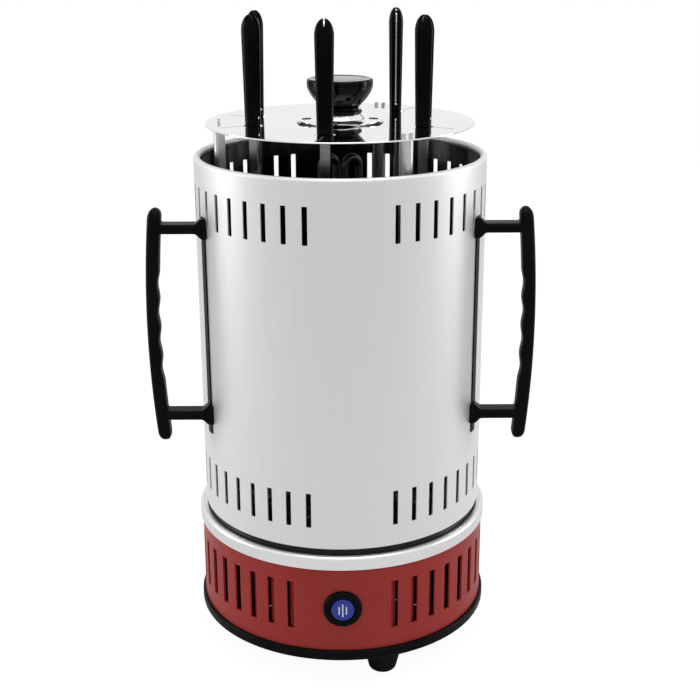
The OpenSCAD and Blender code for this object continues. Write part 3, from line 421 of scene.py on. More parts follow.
# %% Mask of the corners
edge_group, edge_in, edge_out = group(
    "worn_edges", [("Width", "NodeSocketFloat", 0.6 * MM)], [("Edge", "NodeSocketFloat")])
rounded = edge_group.nodes.new("ShaderNodeBevel")
rounded.samples = 4
edge_group.links.new(edge_in.outputs["Width"], rounded.inputs["Radius"])
true_normal = edge_group.nodes.new("ShaderNodeNewGeometry")
same = edge_group.nodes.new("ShaderNodeVectorMath")
same.operation = "DOT_PRODUCT"
edge_group.links.new(rounded.outputs["Normal"], same.inputs[0])
edge_group.links.new(true_normal.outputs["Normal"], same.inputs[1])
apart = math_node(edge_group, "SUBTRACT", 1.0, same.outputs["Value"])
mask = math_node(edge_group, "MULTIPLY", apart, 4.0)
capped = math_node(edge_group, "MINIMUM", mask, 1.0)
edge_group.links.new(capped, edge_out.inputs["Edge"])
print("node groups:", [g.name for g in bpy.data.node_groups])


# %% [markdown]
# ## Finishes
# A finish here is a Principled BSDF with a colour ramp between two near colours, a roughness that
# drifts, and a fine bump. Two makers cover most of them: one for moulded or painted skins, one for
# metals. What is constant, such as the metallic value or the coat, is set on the shader itself.

# %% Makers of finishes
def ramp(tree, value, low, high, first=0.3, second=0.7):
    """A colour between two colours, by a value."""
    made = tree.nodes.new("ShaderNodeValToRGB")
    made.color_ramp.elements[0].position = first
    made.color_ramp.elements[1].position = second
    made.color_ramp.elements[0].color = (*low, 1)
    made.color_ramp.elements[1].color = (*high, 1)
    tree.links.new(value, made.inputs[0])
    return made.outputs[0]


def spread(tree, value, low, high):
    """A value from 0 to 1, moved to a range."""
    made = tree.nodes.new("ShaderNodeMapRange")
    made.inputs["To Min"].default_value = low
    made.inputs["To Max"].default_value = high
    tree.links.new(value, made.inputs["Value"])
    return made.outputs[0]


def placed(tree, made, **values):
    """A shared group, placed in a material with its own values."""
    node = tree.nodes.new("ShaderNodeGroup")
    node.node_tree = made
    for key, value in values.items():
        node.inputs[key].default_value = value
    return node


def bumped(tree, shader, height, depth):
    """Links a height to a shader's normal."""
    bump = tree.nodes.new("ShaderNodeBump")
    bump.inputs["Strength"].default_value = 1.0
    bump.inputs["Distance"].default_value = depth
    tree.links.new(height, bump.inputs["Height"])
    tree.links.new(bump.outputs["Normal"], shader.inputs["Normal"])


def fresh(name):
    """A new material with nothing but its shader and output."""
    made = bpy.data.materials.new(name)
    made.use_nodes = True
    shader = made.node_tree.nodes["Principled BSDF"]
    return made, made.node_tree, shader


def skin(name, low, high, rough, depth=0.01 * MM, scale=900.0, edge=None, coat=0.0, level=0.5):
    """A moulded, rubber or painted skin."""
    made, tree, shader = fresh(name)
    grain = placed(tree, grain_group, Scale=scale, Clouds=24.0)
    colour = ramp(tree, grain.outputs["Cloudy"], low, high)
    if edge:
        corner = placed(tree, edge_group)
        mix = tree.nodes.new("ShaderNodeMix")
        mix.data_type = "RGBA"
        tree.links.new(corner.outputs["Edge"], mix.inputs["Factor"])
        tree.links.new(colour, mix.inputs[6])
        mix.inputs[7].default_value = (*edge, 1)
        colour = mix.outputs[2]
    tree.links.new(colour, shader.inputs["Base Color"])
    tree.links.new(spread(tree, grain.outputs["Cloudy"], *rough), shader.inputs["Roughness"])
    shader.inputs["Coat Weight"].default_value = coat
    shader.inputs["Coat Roughness"].default_value = 0.08
    shader.inputs["Specular IOR Level"].default_value = level
    bumped(tree, shader, grain.outputs["Fine"], depth)
    return made


def metal(name, low, high, rough, depth=0.001 * MM, scale=700.0):
    """Plain metal with a fine grain."""
    made, tree, shader = fresh(name)
    grain = placed(tree, grain_group, Scale=scale, Clouds=30.0)
    tree.links.new(ramp(tree, grain.outputs["Cloudy"], low, high), shader.inputs["Base Color"])
    tree.links.new(spread(tree, grain.outputs["Cloudy"], *rough), shader.inputs["Roughness"])
    shader.inputs["Metallic"].default_value = 1.0
    bumped(tree, shader, grain.outputs["Fine"], depth)
    return made


def brushed(name, low, high, rough, round_axis, up, metallic=1.0, depth=0.0015 * MM):
    """Brushed sheet metal, with its lines to a turn and to a metre of height."""
    made, tree, shader = fresh(name)
    grain = placed(tree, brush_group, Round=round_axis, Up=up)
    tree.links.new(ramp(tree, grain.outputs["Line"], low, high), shader.inputs["Base Color"])
    tree.links.new(spread(tree, grain.outputs["Drift"], *rough), shader.inputs["Roughness"])
    shader.inputs["Metallic"].default_value = metallic
    bumped(tree, shader, grain.outputs["Line"], depth)
    return made


# %% Every finish of the grill
drum_steel = brushed("drum_brushed_steel", (0.73, 0.73, 0.735), (0.77, 0.77, 0.775), (0.42, 0.48),
                     280.0, 16.0, metallic=0.65)
# The drum's inside is the same steel, painted near-black: painted shade for the dark inside of the drum.
drum_inside_shade = brushed("drum_inside_painted_shade", (0.05, 0.05, 0.05), (0.09, 0.09, 0.09), (0.12, 0.2), 90.0, 6.0)
trim_steel = brushed("trim_brushed_steel", (0.73, 0.73, 0.735), (0.79, 0.79, 0.795), (0.26, 0.32),
                     12.0, 2600.0)
satin_chrome = metal("satin_chrome", (0.84, 0.84, 0.85), (0.9, 0.9, 0.91), (0.14, 0.2))
mirror_steel = metal("mirror_steel", (0.8, 0.8, 0.825), (0.83, 0.83, 0.855), (0.04, 0.07),
                     depth=0.0003 * MM)
sheet_steel = metal("sheet_steel", (0.5, 0.5, 0.51), (0.6, 0.6, 0.61), (0.26, 0.36))
strip_steel = metal("strip_steel", (0.42, 0.42, 0.43), (0.52, 0.52, 0.53), (0.2, 0.3))
screw_steel = metal("screw_steel", (0.55, 0.55, 0.56), (0.66, 0.66, 0.67), (0.2, 0.34))
heater_steel = metal("heater_steel", (0.035, 0.033, 0.032), (0.09, 0.085, 0.08), (0.3, 0.5), scale=400.0)
gear_metal = metal("gear_metal", (0.6, 0.6, 0.61), (0.7, 0.7, 0.71), (0.32, 0.44))
cup_metal = metal("cup_metal", (0.16, 0.16, 0.165), (0.22, 0.22, 0.225), (0.3, 0.4))
blade_steel = metal("blade_steel", (0.2, 0.2, 0.205), (0.28, 0.28, 0.285), (0.2, 0.28))
brass = metal("bush_brass", (0.55, 0.38, 0.13), (0.68, 0.5, 0.2), (0.25, 0.4))
red_skin = skin("red_plastic", (0.31, 0.028, 0.024), (0.33, 0.032, 0.027), (0.34, 0.42),
                depth=0.008 * MM, scale=1100.0, edge=(0.34, 0.06, 0.05), level=0.16)
black_skin = skin("black_plastic", (0.002, 0.002, 0.0022), (0.0035, 0.0035, 0.0038), (0.3, 0.4),
                  depth=0.008 * MM, scale=1300.0, edge=(0.006, 0.006, 0.0065), level=0.05)
gloss_black = skin("gloss_black", (0.0008, 0.0008, 0.0008), (0.0012, 0.0012, 0.0012), (0.12, 0.17),
                   depth=0.001 * MM, level=0.05)
knob_black = skin("knob_black", (0.002, 0.002, 0.002), (0.003, 0.003, 0.0032), (0.06, 0.1),
                  depth=0.0005 * MM, level=0.09)
knob_cap = skin("knob_polished_cap", (0.002, 0.002, 0.002), (0.003, 0.003, 0.0032), (0.05, 0.08),
                depth=0.0003 * MM, level=0.6)
rubber = skin("foot_rubber", (0.002, 0.002, 0.002), (0.004, 0.004, 0.004), (0.5, 0.65),
              depth=0.02 * MM, level=0.1)
deck_paint = skin("deck_paint", (0.004, 0.004, 0.0045), (0.008, 0.008, 0.009), (0.3, 0.42), level=0.2)
motor_paint = skin("motor_paint", (0.2, 0.2, 0.21), (0.26, 0.26, 0.27), (0.35, 0.5))
ceramic = skin("ceramic", (0.66, 0.62, 0.53), (0.74, 0.7, 0.62), (0.45, 0.6), depth=0.02 * MM)
white_plastic = skin("white_plastic", (0.72, 0.72, 0.7), (0.8, 0.8, 0.78), (0.35, 0.45))
blue_cap = skin("blue_cap", (0.016, 0.026, 0.24), (0.03, 0.045, 0.36), (0.12, 0.2),
                depth=0.002 * MM, coat=0.15, level=0.2)
finish_of_slot = {
    "red_plastic": red_skin, "black_plastic": black_skin, "handle_black": gloss_black,
    "foot_rubber": rubber, "drum_steel": drum_steel, "trim_steel": trim_steel,
    "mirror_steel": mirror_steel, "sheet_steel": sheet_steel, "screw_steel": screw_steel,
    "deck_black": deck_paint, "heater_metal": heater_steel, "ceramic": ceramic,
    "bearing_brass": brass, "gear_metal": gear_metal, "cup_metal": cup_metal,
    "motor_case": motor_paint, "white_plastic": white_plastic, "button_blue": blue_cap,
}
slot_of_node = {s["node"]: s["material_slot"] for s in frame["record"]["subparts"]}
for name, node in nodes.items():
    node.data.materials.clear()
    node.data.materials.append(finish_of_slot[slot_of_node[name]])
print("finishes:", len(finish_of_slot))


# %% Dress a new piece
def dress(piece, name, finish, body, replaced, smooth=32):
    """Gives a finished piece its name, finish and body, and hides the nodes it stands for."""
    settle(piece)
    piece.name = name
    piece.data.name = name
    bpy.ops.object.shade_smooth_by_angle(angle=math.radians(smooth))
    modify(piece, "WEIGHTED_NORMAL", keep_sharp=True)
    piece.data.materials.clear()
    piece.data.materials.append(finish)
    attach(piece, body)
    if replaced:
        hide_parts(*replaced)
    print(name, len(piece.data.polygons), "faces")
    return piece


# %% [markdown]
# ## The drum
# The drum is one sheet, rolled and seamed. Its top edge is rolled inwards into a bead, and its foot
# is folded in. It could be a cylinder with a Solidify modifier, but then the bead and the fold would
# be missing, and they are what tells thin sheet from a solid. So the section of the sheet is drawn
# once and spun. The vents and the two long slots for the handles are punched by cutters that are
# made once and copied round. A narrow bevel afterwards breaks the punched edges. The inside faces
# get a material of their own, near-black steel: painted shade for the dark inside of the drum.

# %% Drum shell
sheet = 1.0 * MM
bead = 2.4 * MM
drum_z = drum_low.z
inner_r = drum_r - sheet
bead_end = 360 - math.degrees(math.acos((inner_r - drum_r + bead) / bead))
section = [(inner_r - bead, drum_z + sheet), (inner_r - bead, drum_z)]
section += arc((drum_r - sheet, drum_z + sheet), sheet, -90, 0, 4)
section += arc((drum_r - bead, rim_z - bead), bead, 0, bead_end, 20)
section += [(inner_r, drum_z + sheet), (inner_r - bead, drum_z + sheet)]
drum = lathe("drum", section, steps=360)
print("drum section", len(section), "points,", len(drum.data.polygons), "faces")

# %% Vents and handle slots
vent_w = 3.8 * MM
vent_h = 26 * MM
vent_drop = 18.5 * MM
vent_rise = 16.2 * MM
vent_corner = 0.5 * MM
vent_turn = 4
vent_plain = 17
vent_step = 8.1
vent_count = 9
vent_bearings = [vent_turn + half + side * (vent_plain + vent_step * k)
                 for half in (0, 180) for side in (-1, 1) for k in range(vent_count)]
slot_w = 7.2 * MM
slot_h = 161 * MM
slot_top = rim_z - 38 * MM
handle_bearing = 65.6
punched_edge = 0.14 * MM
deep = 4 * MM
for low_z in (drum_z + vent_rise, rim_z - vent_drop - vent_h):
    vent = block("vent", (-vent_w / 2, -drum_r - deep, low_z),
                 (vent_w / 2, -inner_r + deep, low_z + vent_h))
    modify(vent, "BEVEL", width=vent_corner, segments=3)
    cut(drum, round_bearings(vent, vent_bearings, "vents"))
slot = block("slot", (-slot_w / 2, -drum_r - deep, slot_top - slot_h),
             (slot_w / 2, -inner_r + deep, slot_top))
cut(drum, round_bearings(slot, (-handle_bearing, handle_bearing), "slots"))
modify(drum, "BEVEL", width=punched_edge, segments=2, limit_method="ANGLE", angle_limit=math.radians(50))
dress(drum, "drum_shell_look", drum_steel, "drum", ("drum_shell",))

# %% The inside of the drum, in painted shade
# Faces that look inwards take the near-black inside steel, which is painted shade.
faces_in = -0.7
drum.data.materials.append(drum_inside_shade)
for face in drum.data.polygons:
    out = Vector((face.center.x, face.center.y, 0)).normalized()
    if face.normal.dot(out) < faces_in and face.center.z < rim_z - 2 * bead:
        face.material_index = 1
print("faces inside:", sum(face.material_index for face in drum.data.polygons))

# %% [markdown]
# ## Side handles
# Each handle is one moulding: two arms with gussets against the drum, a bowed grip with a domed top
# and four hollows for the fingers, and a spine that fills the drum's slot. A curve with a bevel would
# give the grip, but not its flat sides and hollows. Here the grip is a ring of points that is
# extruded, widened and moved, ring after ring, and the arms are outlines given a depth. A fine voxel
# remesh then melts them together, and smoothing turns the seams into the fillets of a moulding.


# %% Rings extruded one from another
def loft(name, sides, square, rings):
    """A closed body through rings of (x, y, z, half width, half depth)."""
    bpy.ops.object.select_all(action="DESELECT")
    bpy.ops.mesh.primitive_circle_add(vertices=sides, radius=1, fill_type="NGON", location=(0, 0, 0))
    piece = bpy.context.object
    piece.name = name
    for vert in piece.data.vertices:
        vert.co.x = math.copysign(abs(vert.co.x) ** square, vert.co.x)
        vert.co.y = math.copysign(abs(vert.co.y) ** square, vert.co.y)
    bpy.ops.object.mode_set(mode="EDIT")
    bpy.ops.mesh.select_all(action="SELECT")
    here = (0, 0, 0, 1, 1)
    for number, there in enumerate(rings):
        if number:
            bpy.ops.mesh.extrude_region_move()
        bpy.ops.transform.resize(value=(there[3] / here[3], there[4] / here[4], 1), center_override=here[:3])
        bpy.ops.transform.translate(value=[b - a for a, b in zip(here[:3], there[:3])])
        here = there
    bpy.ops.object.mode_set(mode="OBJECT")
    return clean(piece)


def slab(name, outline, low, high):
    """An outline of (x, z) points, given a depth along Y."""
    bpy.ops.object.select_all(action="DESELECT")
    bpy.ops.mesh.primitive_plane_add(size=MM)
    piece = bpy.context.object
    piece.name = name
    bpy.ops.object.mode_set(mode="EDIT")
    bpy.ops.mesh.select_all(action="SELECT")
    bpy.ops.mesh.merge(type="CENTER")
    bpy.ops.transform.translate(value=(outline[0][0], low, outline[0][1]))
    for here, there in zip(outline, outline[1:]):
        step = (there[0] - here[0], 0, there[1] - here[1])
        bpy.ops.mesh.extrude_region_move(TRANSFORM_OT_translate={"value": step})
    bpy.ops.mesh.select_all(action="SELECT")
    bpy.ops.mesh.edge_face_add()
    bpy.ops.mesh.extrude_region_move(TRANSFORM_OT_translate={"value": (0, high - low, 0)})
    bpy.ops.object.mode_set(mode="OBJECT")
    return clean(piece)


# %% Grip
arm_y = -drum_r * math.cos(math.radians(handle_bearing))
arms_up = 4 * MM
arms_z = slot_top - slot_h / 2 + arms_up
arm_half_span = 69 * MM
grip_h = 173 * MM
grip_half_t = 4.9 * MM
grip_half_d = 7 * MM
grip_x = 131 * MM
grip_bow = 4.6 * MM
grip_drop = 3 * MM
grip_mid_z = arms_z - grip_drop
end_h = 7 * MM
finger_step = 21 * MM
finger_deep = 1.3 * MM
least_share = 0.02


def grip_ring(z):
    """One ring of the grip, at a height above or below its middle."""
    out = max(0, (abs(z) - grip_h / 2 + end_h) / end_h)
    share = math.sqrt(max(least_share, 1 - out * out))
    hollow = 0
    if abs(z) < 2 * finger_step:
        hollow = finger_deep * (1 - math.cos(2 * math.pi * z / finger_step)) / 2
    middle = grip_x + grip_bow * (0.5 - (2 * z / grip_h) ** 2)
    outer = middle + grip_half_t * share
    inner = middle - grip_half_t * share + hollow
    return ((outer + inner) / 2, arm_y, grip_mid_z + z, (outer - inner) / 2, grip_half_d * share)


grip_square = 0.6
crowded = 0.4
ring_count = 96
shares = [2 * i / ring_count - 1 for i in range(1, ring_count + 1)]
heights = [grip_h / 2 * ((1 - crowded) * u + crowded * math.sin(math.pi / 2 * u)) for u in shares]
grip = loft("grip", 32, grip_square, [grip_ring(z) for z in heights])
print("grip", len(grip.data.polygons), "faces")

# %% Arms, spine and the whole handle
arm_half_h = 3.4 * MM
arm_half_d = 6.5 * MM
gusset = 4 * MM
root_x = 88 * MM
gusset_x = 97 * MM
arm_edge = 0.9 * MM
arm_gap = 0.15 * MM
melt = 0.62 * MM
spine_gap = 0.1 * MM
spine_out = 0.8 * MM
spine_edge = 0.35 * MM
arms = []
for side in (-1, 1):
    z = arms_z + side * arm_half_span
    arm = slab("arm", [(root_x, z - arm_half_h - gusset), (gusset_x, z - arm_half_h - gusset),
                       (gusset_x + gusset, z - arm_half_h), (grip_x, z - arm_half_h),
                       (grip_x, z + arm_half_h), (gusset_x + gusset, z + arm_half_h),
                       (gusset_x, z + arm_half_h + gusset), (root_x, z + arm_half_h + gusset)],
               arm_y - arm_half_d, arm_y + arm_half_d)
    modify(arm, "BEVEL", width=arm_edge, segments=3)
    arms.append(arm)
for arm in arms:
    modify(grip, "BOOLEAN", object=arm, operation="UNION", solver="EXACT")
    bpy.data.objects.remove(arm)
room_r = drum_r + arm_gap
cut(grip, lathe("room", [(0, drum_z), (room_r, drum_z), (room_r, rim_z), (0, rim_z)]))
modify(grip, "REMESH", mode="VOXEL", voxel_size=melt)
modify(grip, "SMOOTH", factor=0.5, iterations=5)
spine = block("spine", (-slot_w / 2 + spine_gap, -drum_r - spine_out, slot_top - slot_h + spine_gap),
              (slot_w / 2 - spine_gap, -inner_r, slot_top - spine_gap))
spine.rotation_euler.z = math.radians(handle_bearing)
modify(settle(spine), "BEVEL", width=spine_edge, segments=2)
handle = joined([grip, spine], "handle")
other = twin(handle, "other_handle")
other.scale.x = -1
settle(other)
clean(other)
dress(handle, "handle_right_look", black_skin, "drum", ("handle_right",), smooth=50)
dress(other, "handle_left_look", black_skin, "drum", ("handle_left",), smooth=50)

# %% [markdown]
# ## The rack's plate
# The plate is a pressed disc with a rolled edge. Each skewer has a round hole with a slit that runs
# outwards from it, and the posts' tabs come up through small slots. It could stay as the frame has
# it. A bevel on every edge is what gives the bright outlines that polished sheet has, so it is spun
# and punched here, with its edges broken.

# %% Plate with its holes
plate_r = plate_high.x
plate_t = plate_high.z - plate_low.z
skewer_place = 64.5 * MM
skewer_bearings = (-110, -70, -9, 63, 140, 190)
skewer_turns = (60, 35, 189, -88, 130)
post_bearings = (-85, 31, 159)
hole_r = 7 * MM
slit_half_w = 0.45 * MM
slit_end = 88 * MM
tab_apart = 2.8 * MM
tab_half_w = 1.3 * MM
tab_in = 84.9 * MM
tab_out = 87.1 * MM
plate_edge = 0.06 * MM
plate = lathe("plate", [(0, plate_low.z)]
              + arc((plate_r - plate_t / 2, plate_top - plate_t / 2), plate_t / 2, -90, 90, 8)
              + [(0, plate_top)], steps=240)
over_z = 3 * MM
hole = lathe("hole", [(0, plate_low.z - over_z), (hole_r, plate_low.z - over_z),
                      (hole_r, plate_top + over_z), (0, plate_top + over_z)], steps=64)
hole.location.y = -skewer_place
cut(plate, round_bearings(settle(hole), skewer_bearings, "holes"))
slit = block("slit", (-slit_half_w, -slit_end, plate_low.z - over_z),
             (slit_half_w, -skewer_place - hole_r / 2, plate_top + over_z))
cut(plate, round_bearings(slit, skewer_bearings, "slits"))
for side in (-1, 1):
    tab = block("tab", (side * tab_apart - tab_half_w, -tab_out, plate_low.z - over_z),
                (side * tab_apart + tab_half_w, -tab_in, plate_top + over_z))
    cut(plate, round_bearings(tab, post_bearings, "tabs"))
modify(plate, "BEVEL", width=plate_edge, segments=2, limit_method="ANGLE", angle_limit=math.radians(40))
dress(plate, "rack_plate_look", mirror_steel, "rack", ("rack_plate",))

# %% [markdown]
# ## The knob and its chrome flange
# The knob is turned: a bead, a waist and a bowl. Its top is nearly flat, with a fine groove round a
# cap that is polished more than the rest, so the faces that look up get a material of their own. The
# flange under it is a thin chromed pressing: a steep cone with a wide brim, which waves and has rounded
# openings. A thin dark ring lies between it and the plate, so that the openings show dark.

# %% Knob
knob_r = 23.5 * MM
neck_r = 13.3 * MM
bead_r = 15.8 * MM
edge_r = 1.4 * MM
foot_z = plate_top + 5.6 * MM
neck_z = plate_top + 9.8 * MM
wide_z = plate_top + 26.6 * MM
knob_top = plate_top + 30 * MM
waist_r = 0.8 * MM
waist_gap = 0.1 * MM
shoulder_r = 1.6 * MM
cap_in = 4 * MM
cap_groove = 0.8 * MM
cap_crown = 0.1 * MM
bowl_steps = 16
section = [(0, foot_z), (bead_r - edge_r, foot_z)]
section += arc((bead_r - edge_r, foot_z + edge_r), edge_r, -90, 90, 10)
section += arc((neck_r + waist_r, foot_z + 2 * edge_r + waist_r + waist_gap), waist_r, 230, 180, 4)
for i in range(bowl_steps + 1):
    u = i / bowl_steps
    section.append((neck_r + (knob_r - neck_r) * math.sin(math.pi / 2 * u), neck_z + (wide_z - neck_z) * u))
section += arc((knob_r - shoulder_r, knob_top - shoulder_r), shoulder_r, 0, 90, 8)
section += [(knob_r - cap_in, knob_top - cap_crown),
            (knob_r - cap_in - cap_groove, knob_top - 5 * cap_crown),
            (knob_r - cap_in - 2 * cap_groove, knob_top - 3 * cap_crown),
            (knob_r / 2, knob_top - cap_crown), (0, knob_top)]
knob = lathe("knob", section, steps=144)
dress(knob, "rack_knob_look", knob_black, "rack", ("rack_knob",), smooth=50)
looks_up = 0.9
knob.data.materials.append(knob_cap)
for face in knob.data.polygons:
    if face.normal.z > looks_up and face.center.z > wide_z:
        face.material_index = 1

# %% Flange
flange_r = 31 * MM
flange_t = 0.9 * MM
cone_r = 14.6 * MM
brim_r = 18.4 * MM
brim_z = plate_top + 1.1 * MM
brim_drop = 0.5 * MM
bolt_r = 2.1 * MM
fillet_r = 2.2 * MM
fillet_out = 0.6 * MM
opening_half_w = 4.6 * MM
opening_out = 3.6 * MM
opening_in = 10.8 * MM
opening_corner = 2.6 * MM
wave = 0.9 * MM
wave_from = 0.6
pressed_edge = 0.1 * MM
flare = [(cone_r, foot_z - flange_t / 2)]
flare += arc((brim_r + fillet_out, brim_z + fillet_r), fillet_r, 218, 264, 6)
flare += [(brim_r + (flange_r - brim_r) * i / 8, brim_z - brim_drop * (i / 8) ** 2) for i in range(1, 9)]
section = [(bolt_r, foot_z), (bolt_r, foot_z - flange_t / 2)]
section += [(r - flange_t / 2 * (r < brim_r), z) for r, z in flare]
section += [(r, z + flange_t / 2) for r, z in reversed(flare)]
section += [(bolt_r, foot_z)]
flange = lathe("flange", section, steps=180)
opening = block("opening", (-opening_half_w, -flange_r + opening_out, plate_top - over_z),
                (opening_half_w, -flange_r + opening_in, plate_top + over_z))
modify(opening, "BEVEL", width=opening_corner, segments=4)
cut(flange, round_bearings(opening, range(30, 390, 60), "openings"))
for vert in flange.data.vertices:
    out = math.hypot(vert.co.x, vert.co.y) / flange_r
    turn = 6 * math.atan2(vert.co.x, vert.co.y)
    vert.co.z += wave * max(0, out - wave_from) / (1 - wave_from) * (1 + math.cos(turn)) / 2
modify(flange, "BEVEL", width=pressed_edge, segments=2, limit_method="ANGLE", angle_limit=math.radians(50))
dress(flange, "knob_flange_look", satin_chrome, "rack", ("knob_flange",), smooth=45)

# %% Dark ring under the flange
# A thin dark ring under the flange, so that its openings show dark.
dark_ring_in = 3 * MM
dark_ring_t = 0.3 * MM
dark_ring_r = flange_r - dark_ring_in
dark_ring = lathe("dark_ring", [(brim_r, plate_top), (dark_ring_r, plate_top), (dark_ring_r, plate_top + dark_ring_t),
                          (brim_r, plate_top + dark_ring_t), (brim_r, plate_top)], steps=120)
dress(dark_ring, "flange_dark_ring_look", black_skin, "rack", ())

# %% [markdown]
# ## Skewers
# A skewer is a steel blade with a moulded handle. The handle is a flattened bar, wider towards the
# top, with an egg-shaped end, a notch across the tip and a groove along one narrow edge. The steel of
# the tang shows in both. One handle, one strip and one rivet are modelled, then copied to five places
# and turned as the frame's are. The sixth place is empty.

# %% Rings of a skewer's handle
bar_h = 75 * MM
dome_h = 11 * MM
foot_in = 1.3 * MM
low_r = 5.5 * MM
top_r = 6.6 * MM
flat = 0.8
bar_square = 0.8
least_r = 0.2 * MM
foot_round = 0.25 * MM
foot_rise = 0.9 * MM
dome_turns = (0, 10, 20, 30, 40, 50, 60, 68, 75, 81, 86)


def bar_rings(less):
    """Rings of the handle, made smaller all round by a length."""
    rings = [(low_r - foot_round, foot_round - foot_in), (low_r, foot_rise - foot_in)]
    rings += [(low_r + (top_r - low_r) * i / 8, (bar_h - dome_h) * i / 8) for i in range(1, 8)]
    rings += [(top_r * math.cos(math.radians(a)), bar_h - dome_h + dome_h * math.sin(math.radians(a)))
              for a in dome_turns]
    return [(0, 0, z, max(r - less, least_r), flat * max(r - less, least_r)) for r, z in rings]


def kept(piece, cutter):
    """Keeps only what a piece shares with a cutter."""
    modify(piece, "BOOLEAN", object=cutter, operation="INTERSECT", solver="EXACT")
    bpy.data.objects.remove(cutter)
    return piece


# %% Bar with its grooves and notch
groove_half_w = 1 * MM
groove_x = 3.4 * MM
groove_z = 4 * MM
end_groove_x = 2 * MM
end_groove_h = 2.4 * MM
notch_half_w = 0.5 * MM
notch_h = 5 * MM
moulded_edge = 0.2 * MM
past = 8 * MM
above = bar_h + 2 * MM
bar = loft("bar", 48, bar_square, bar_rings(0))
cut(bar, block("groove", (groove_x, -groove_half_w, groove_z), (past, groove_half_w, above)))
cut(bar, block("groove", (-end_groove_x, -groove_half_w, bar_h - end_groove_h),
               (past, groove_half_w, above)))
cut(bar, block("notch", (-notch_half_w, -past, bar_h - notch_h), (notch_half_w, past, above)))
modify(bar, "BEVEL", width=moulded_edge, segments=2, limit_method="ANGLE", angle_limit=math.radians(45))

# %% Steel in the groove and the notch, and the rivet
strip_in = 1.1 * MM
strip_half_t = 0.4 * MM
strip_z = 7 * MM
tip_half_w = 0.45 * MM
rivet_r = 1.05 * MM
rivet_place = (4.8 * MM, 0, 5.3 * MM)
tang = loft("tang", 48, bar_square, bar_rings(strip_in))
tang.scale.z = (bar_h - strip_in) / bar_h
settle(tang)
strip = twin(tang, "strip")
kept(strip, block("slice", (-end_groove_x, -strip_half_t, strip_z), (past, strip_half_t, bar_h)))
kept(tang, block("tip", (-tip_half_w, -past, bar_h - notch_h), (tip_half_w, past, bar_h)))
bpy.ops.object.select_all(action="DESELECT")
bpy.ops.mesh.primitive_uv_sphere_add(segments=20, ring_count=12, radius=rivet_r, location=rivet_place)
rivet = settle(bpy.context.object)
strip = joined([strip, tang, rivet], "strip")
print("handle", len(bar.data.polygons), "faces, strip", len(strip.data.polygons))

# %% Five skewers
bar_gap = 0.5 * MM
bar_z = plate_top + bar_gap
blade_edge = 0.12 * MM
for number, (bearing, turned) in enumerate(zip(skewer_bearings, skewer_turns), start=1):
    body = "skewer_%d" % number
    angle = math.radians(bearing)
    spot = (skewer_place * math.sin(angle), -skewer_place * math.cos(angle), bar_z)
    copies = [twin(bar, "bar_copy"), twin(strip, "strip_copy")]
    for copy in copies:
        copy.location = spot
        copy.rotation_euler.z = math.radians(bearing + turned)
        settle(copy)
    dress(copies[0], "skewer_handle_look_%d" % number, gloss_black, body,
          ("skewer_handle_%d" % number,), smooth=40)
    dress(copies[1], "skewer_strip_look_%d" % number, strip_steel, body, ())
    blade = softened("skewer_blade_%d" % number, blade_edge)
    dress(blade, "skewer_blade_look_%d" % number, blade_steel, body,
          ("skewer_blade_%d" % number,))
for model in (bar, strip):
    bpy.data.objects.remove(model)

# %% [markdown]
# ## The louvred base
# The housing is a moulding with two rows of louvres that face away from the button. Each louvre is a
# window, a blade that slopes inwards from the window's front edge, and a sloping sill at its foot. A
# texture could draw them, but the dark gap behind each blade changes with the view, so they are real.
# One window, one blade and one sill are made and copied round each side. Beside the first louvre of
# each side a fine raised line with round corners closes the row.

# %% Housing wall with its windows
wall_t = 1.6 * MM
housing_z = base_low.z
trim_z = base_high.z
louvre_w = 6.2 * MM
louvre_h = 37.7 * MM
louvre_top = 12.4 * MM
louvre_z = trim_z - louvre_top - louvre_h
louvre_deep = 3 * MM
louvre_first = 20
louvre_step = 8.4
louvre_count = 17
louvre_bearings = [louvre_first + louvre_step * k for k in range(louvre_count)]
lip = 14 * MM
lip_t = 3 * MM
lip_r = housing_r - wall_t - lip
broken = 0.5 * MM
housing_edge = 0.25 * MM
section = [(housing_r - wall_t, housing_z)]
section += arc((housing_r - broken, housing_z + broken), broken, -90, 0, 4)
section += [(housing_r, trim_z), (lip_r, trim_z), (lip_r, trim_z - lip_t),
            (housing_r - wall_t, trim_z - lip_t), (housing_r - wall_t, housing_z)]
housing = lathe("housing", section, steps=360)
both_sides = [side * b for side in (-1, 1) for b in louvre_bearings]
window = block("window", (-louvre_w / 2, -housing_r - deep, louvre_z),
               (louvre_w / 2, -housing_r + wall_t + broken, louvre_z + louvre_h))
cut(housing, round_bearings(window, both_sides, "windows"))

# %% Seats of the button and of the gland
button_z = 61.7 * MM
button_seat_r = 13.9 * MM
button_hole_r = 11.3 * MM
gland_z = 42 * MM
gland_seat_r = 9.6 * MM
gland_hole_r = 7.6 * MM
seat_deep = 1.2 * MM


def bar_along_y(name, r, y0, y1, z, steps=96):
    """A round bar along Y, for a hole or a seat."""
    made = lathe(name, [(0, -y1), (r, -y1), (r, -y0), (0, -y0)], steps=steps)
    made.rotation_euler.x = math.pi / 2
    settle(made)
    made.location.z = z
    return settle(made)


cut(housing, bar_along_y("seat", button_seat_r, -housing_r - deep, -housing_r + seat_deep, button_z))
cut(housing, bar_along_y("hole", button_hole_r, -housing_r - deep, -housing_r + 2 * wall_t, button_z))
cut(housing, bar_along_y("rear_seat", gland_seat_r, housing_r - seat_deep, housing_r + deep, gland_z))
cut(housing, bar_along_y("rear_hole", gland_hole_r, housing_r - 2 * wall_t, housing_r + deep, gland_z))
modify(housing, "BEVEL", width=housing_edge, segments=2, limit_method="ANGLE", angle_limit=math.radians(50))
print("housing", len(housing.data.polygons), "faces")

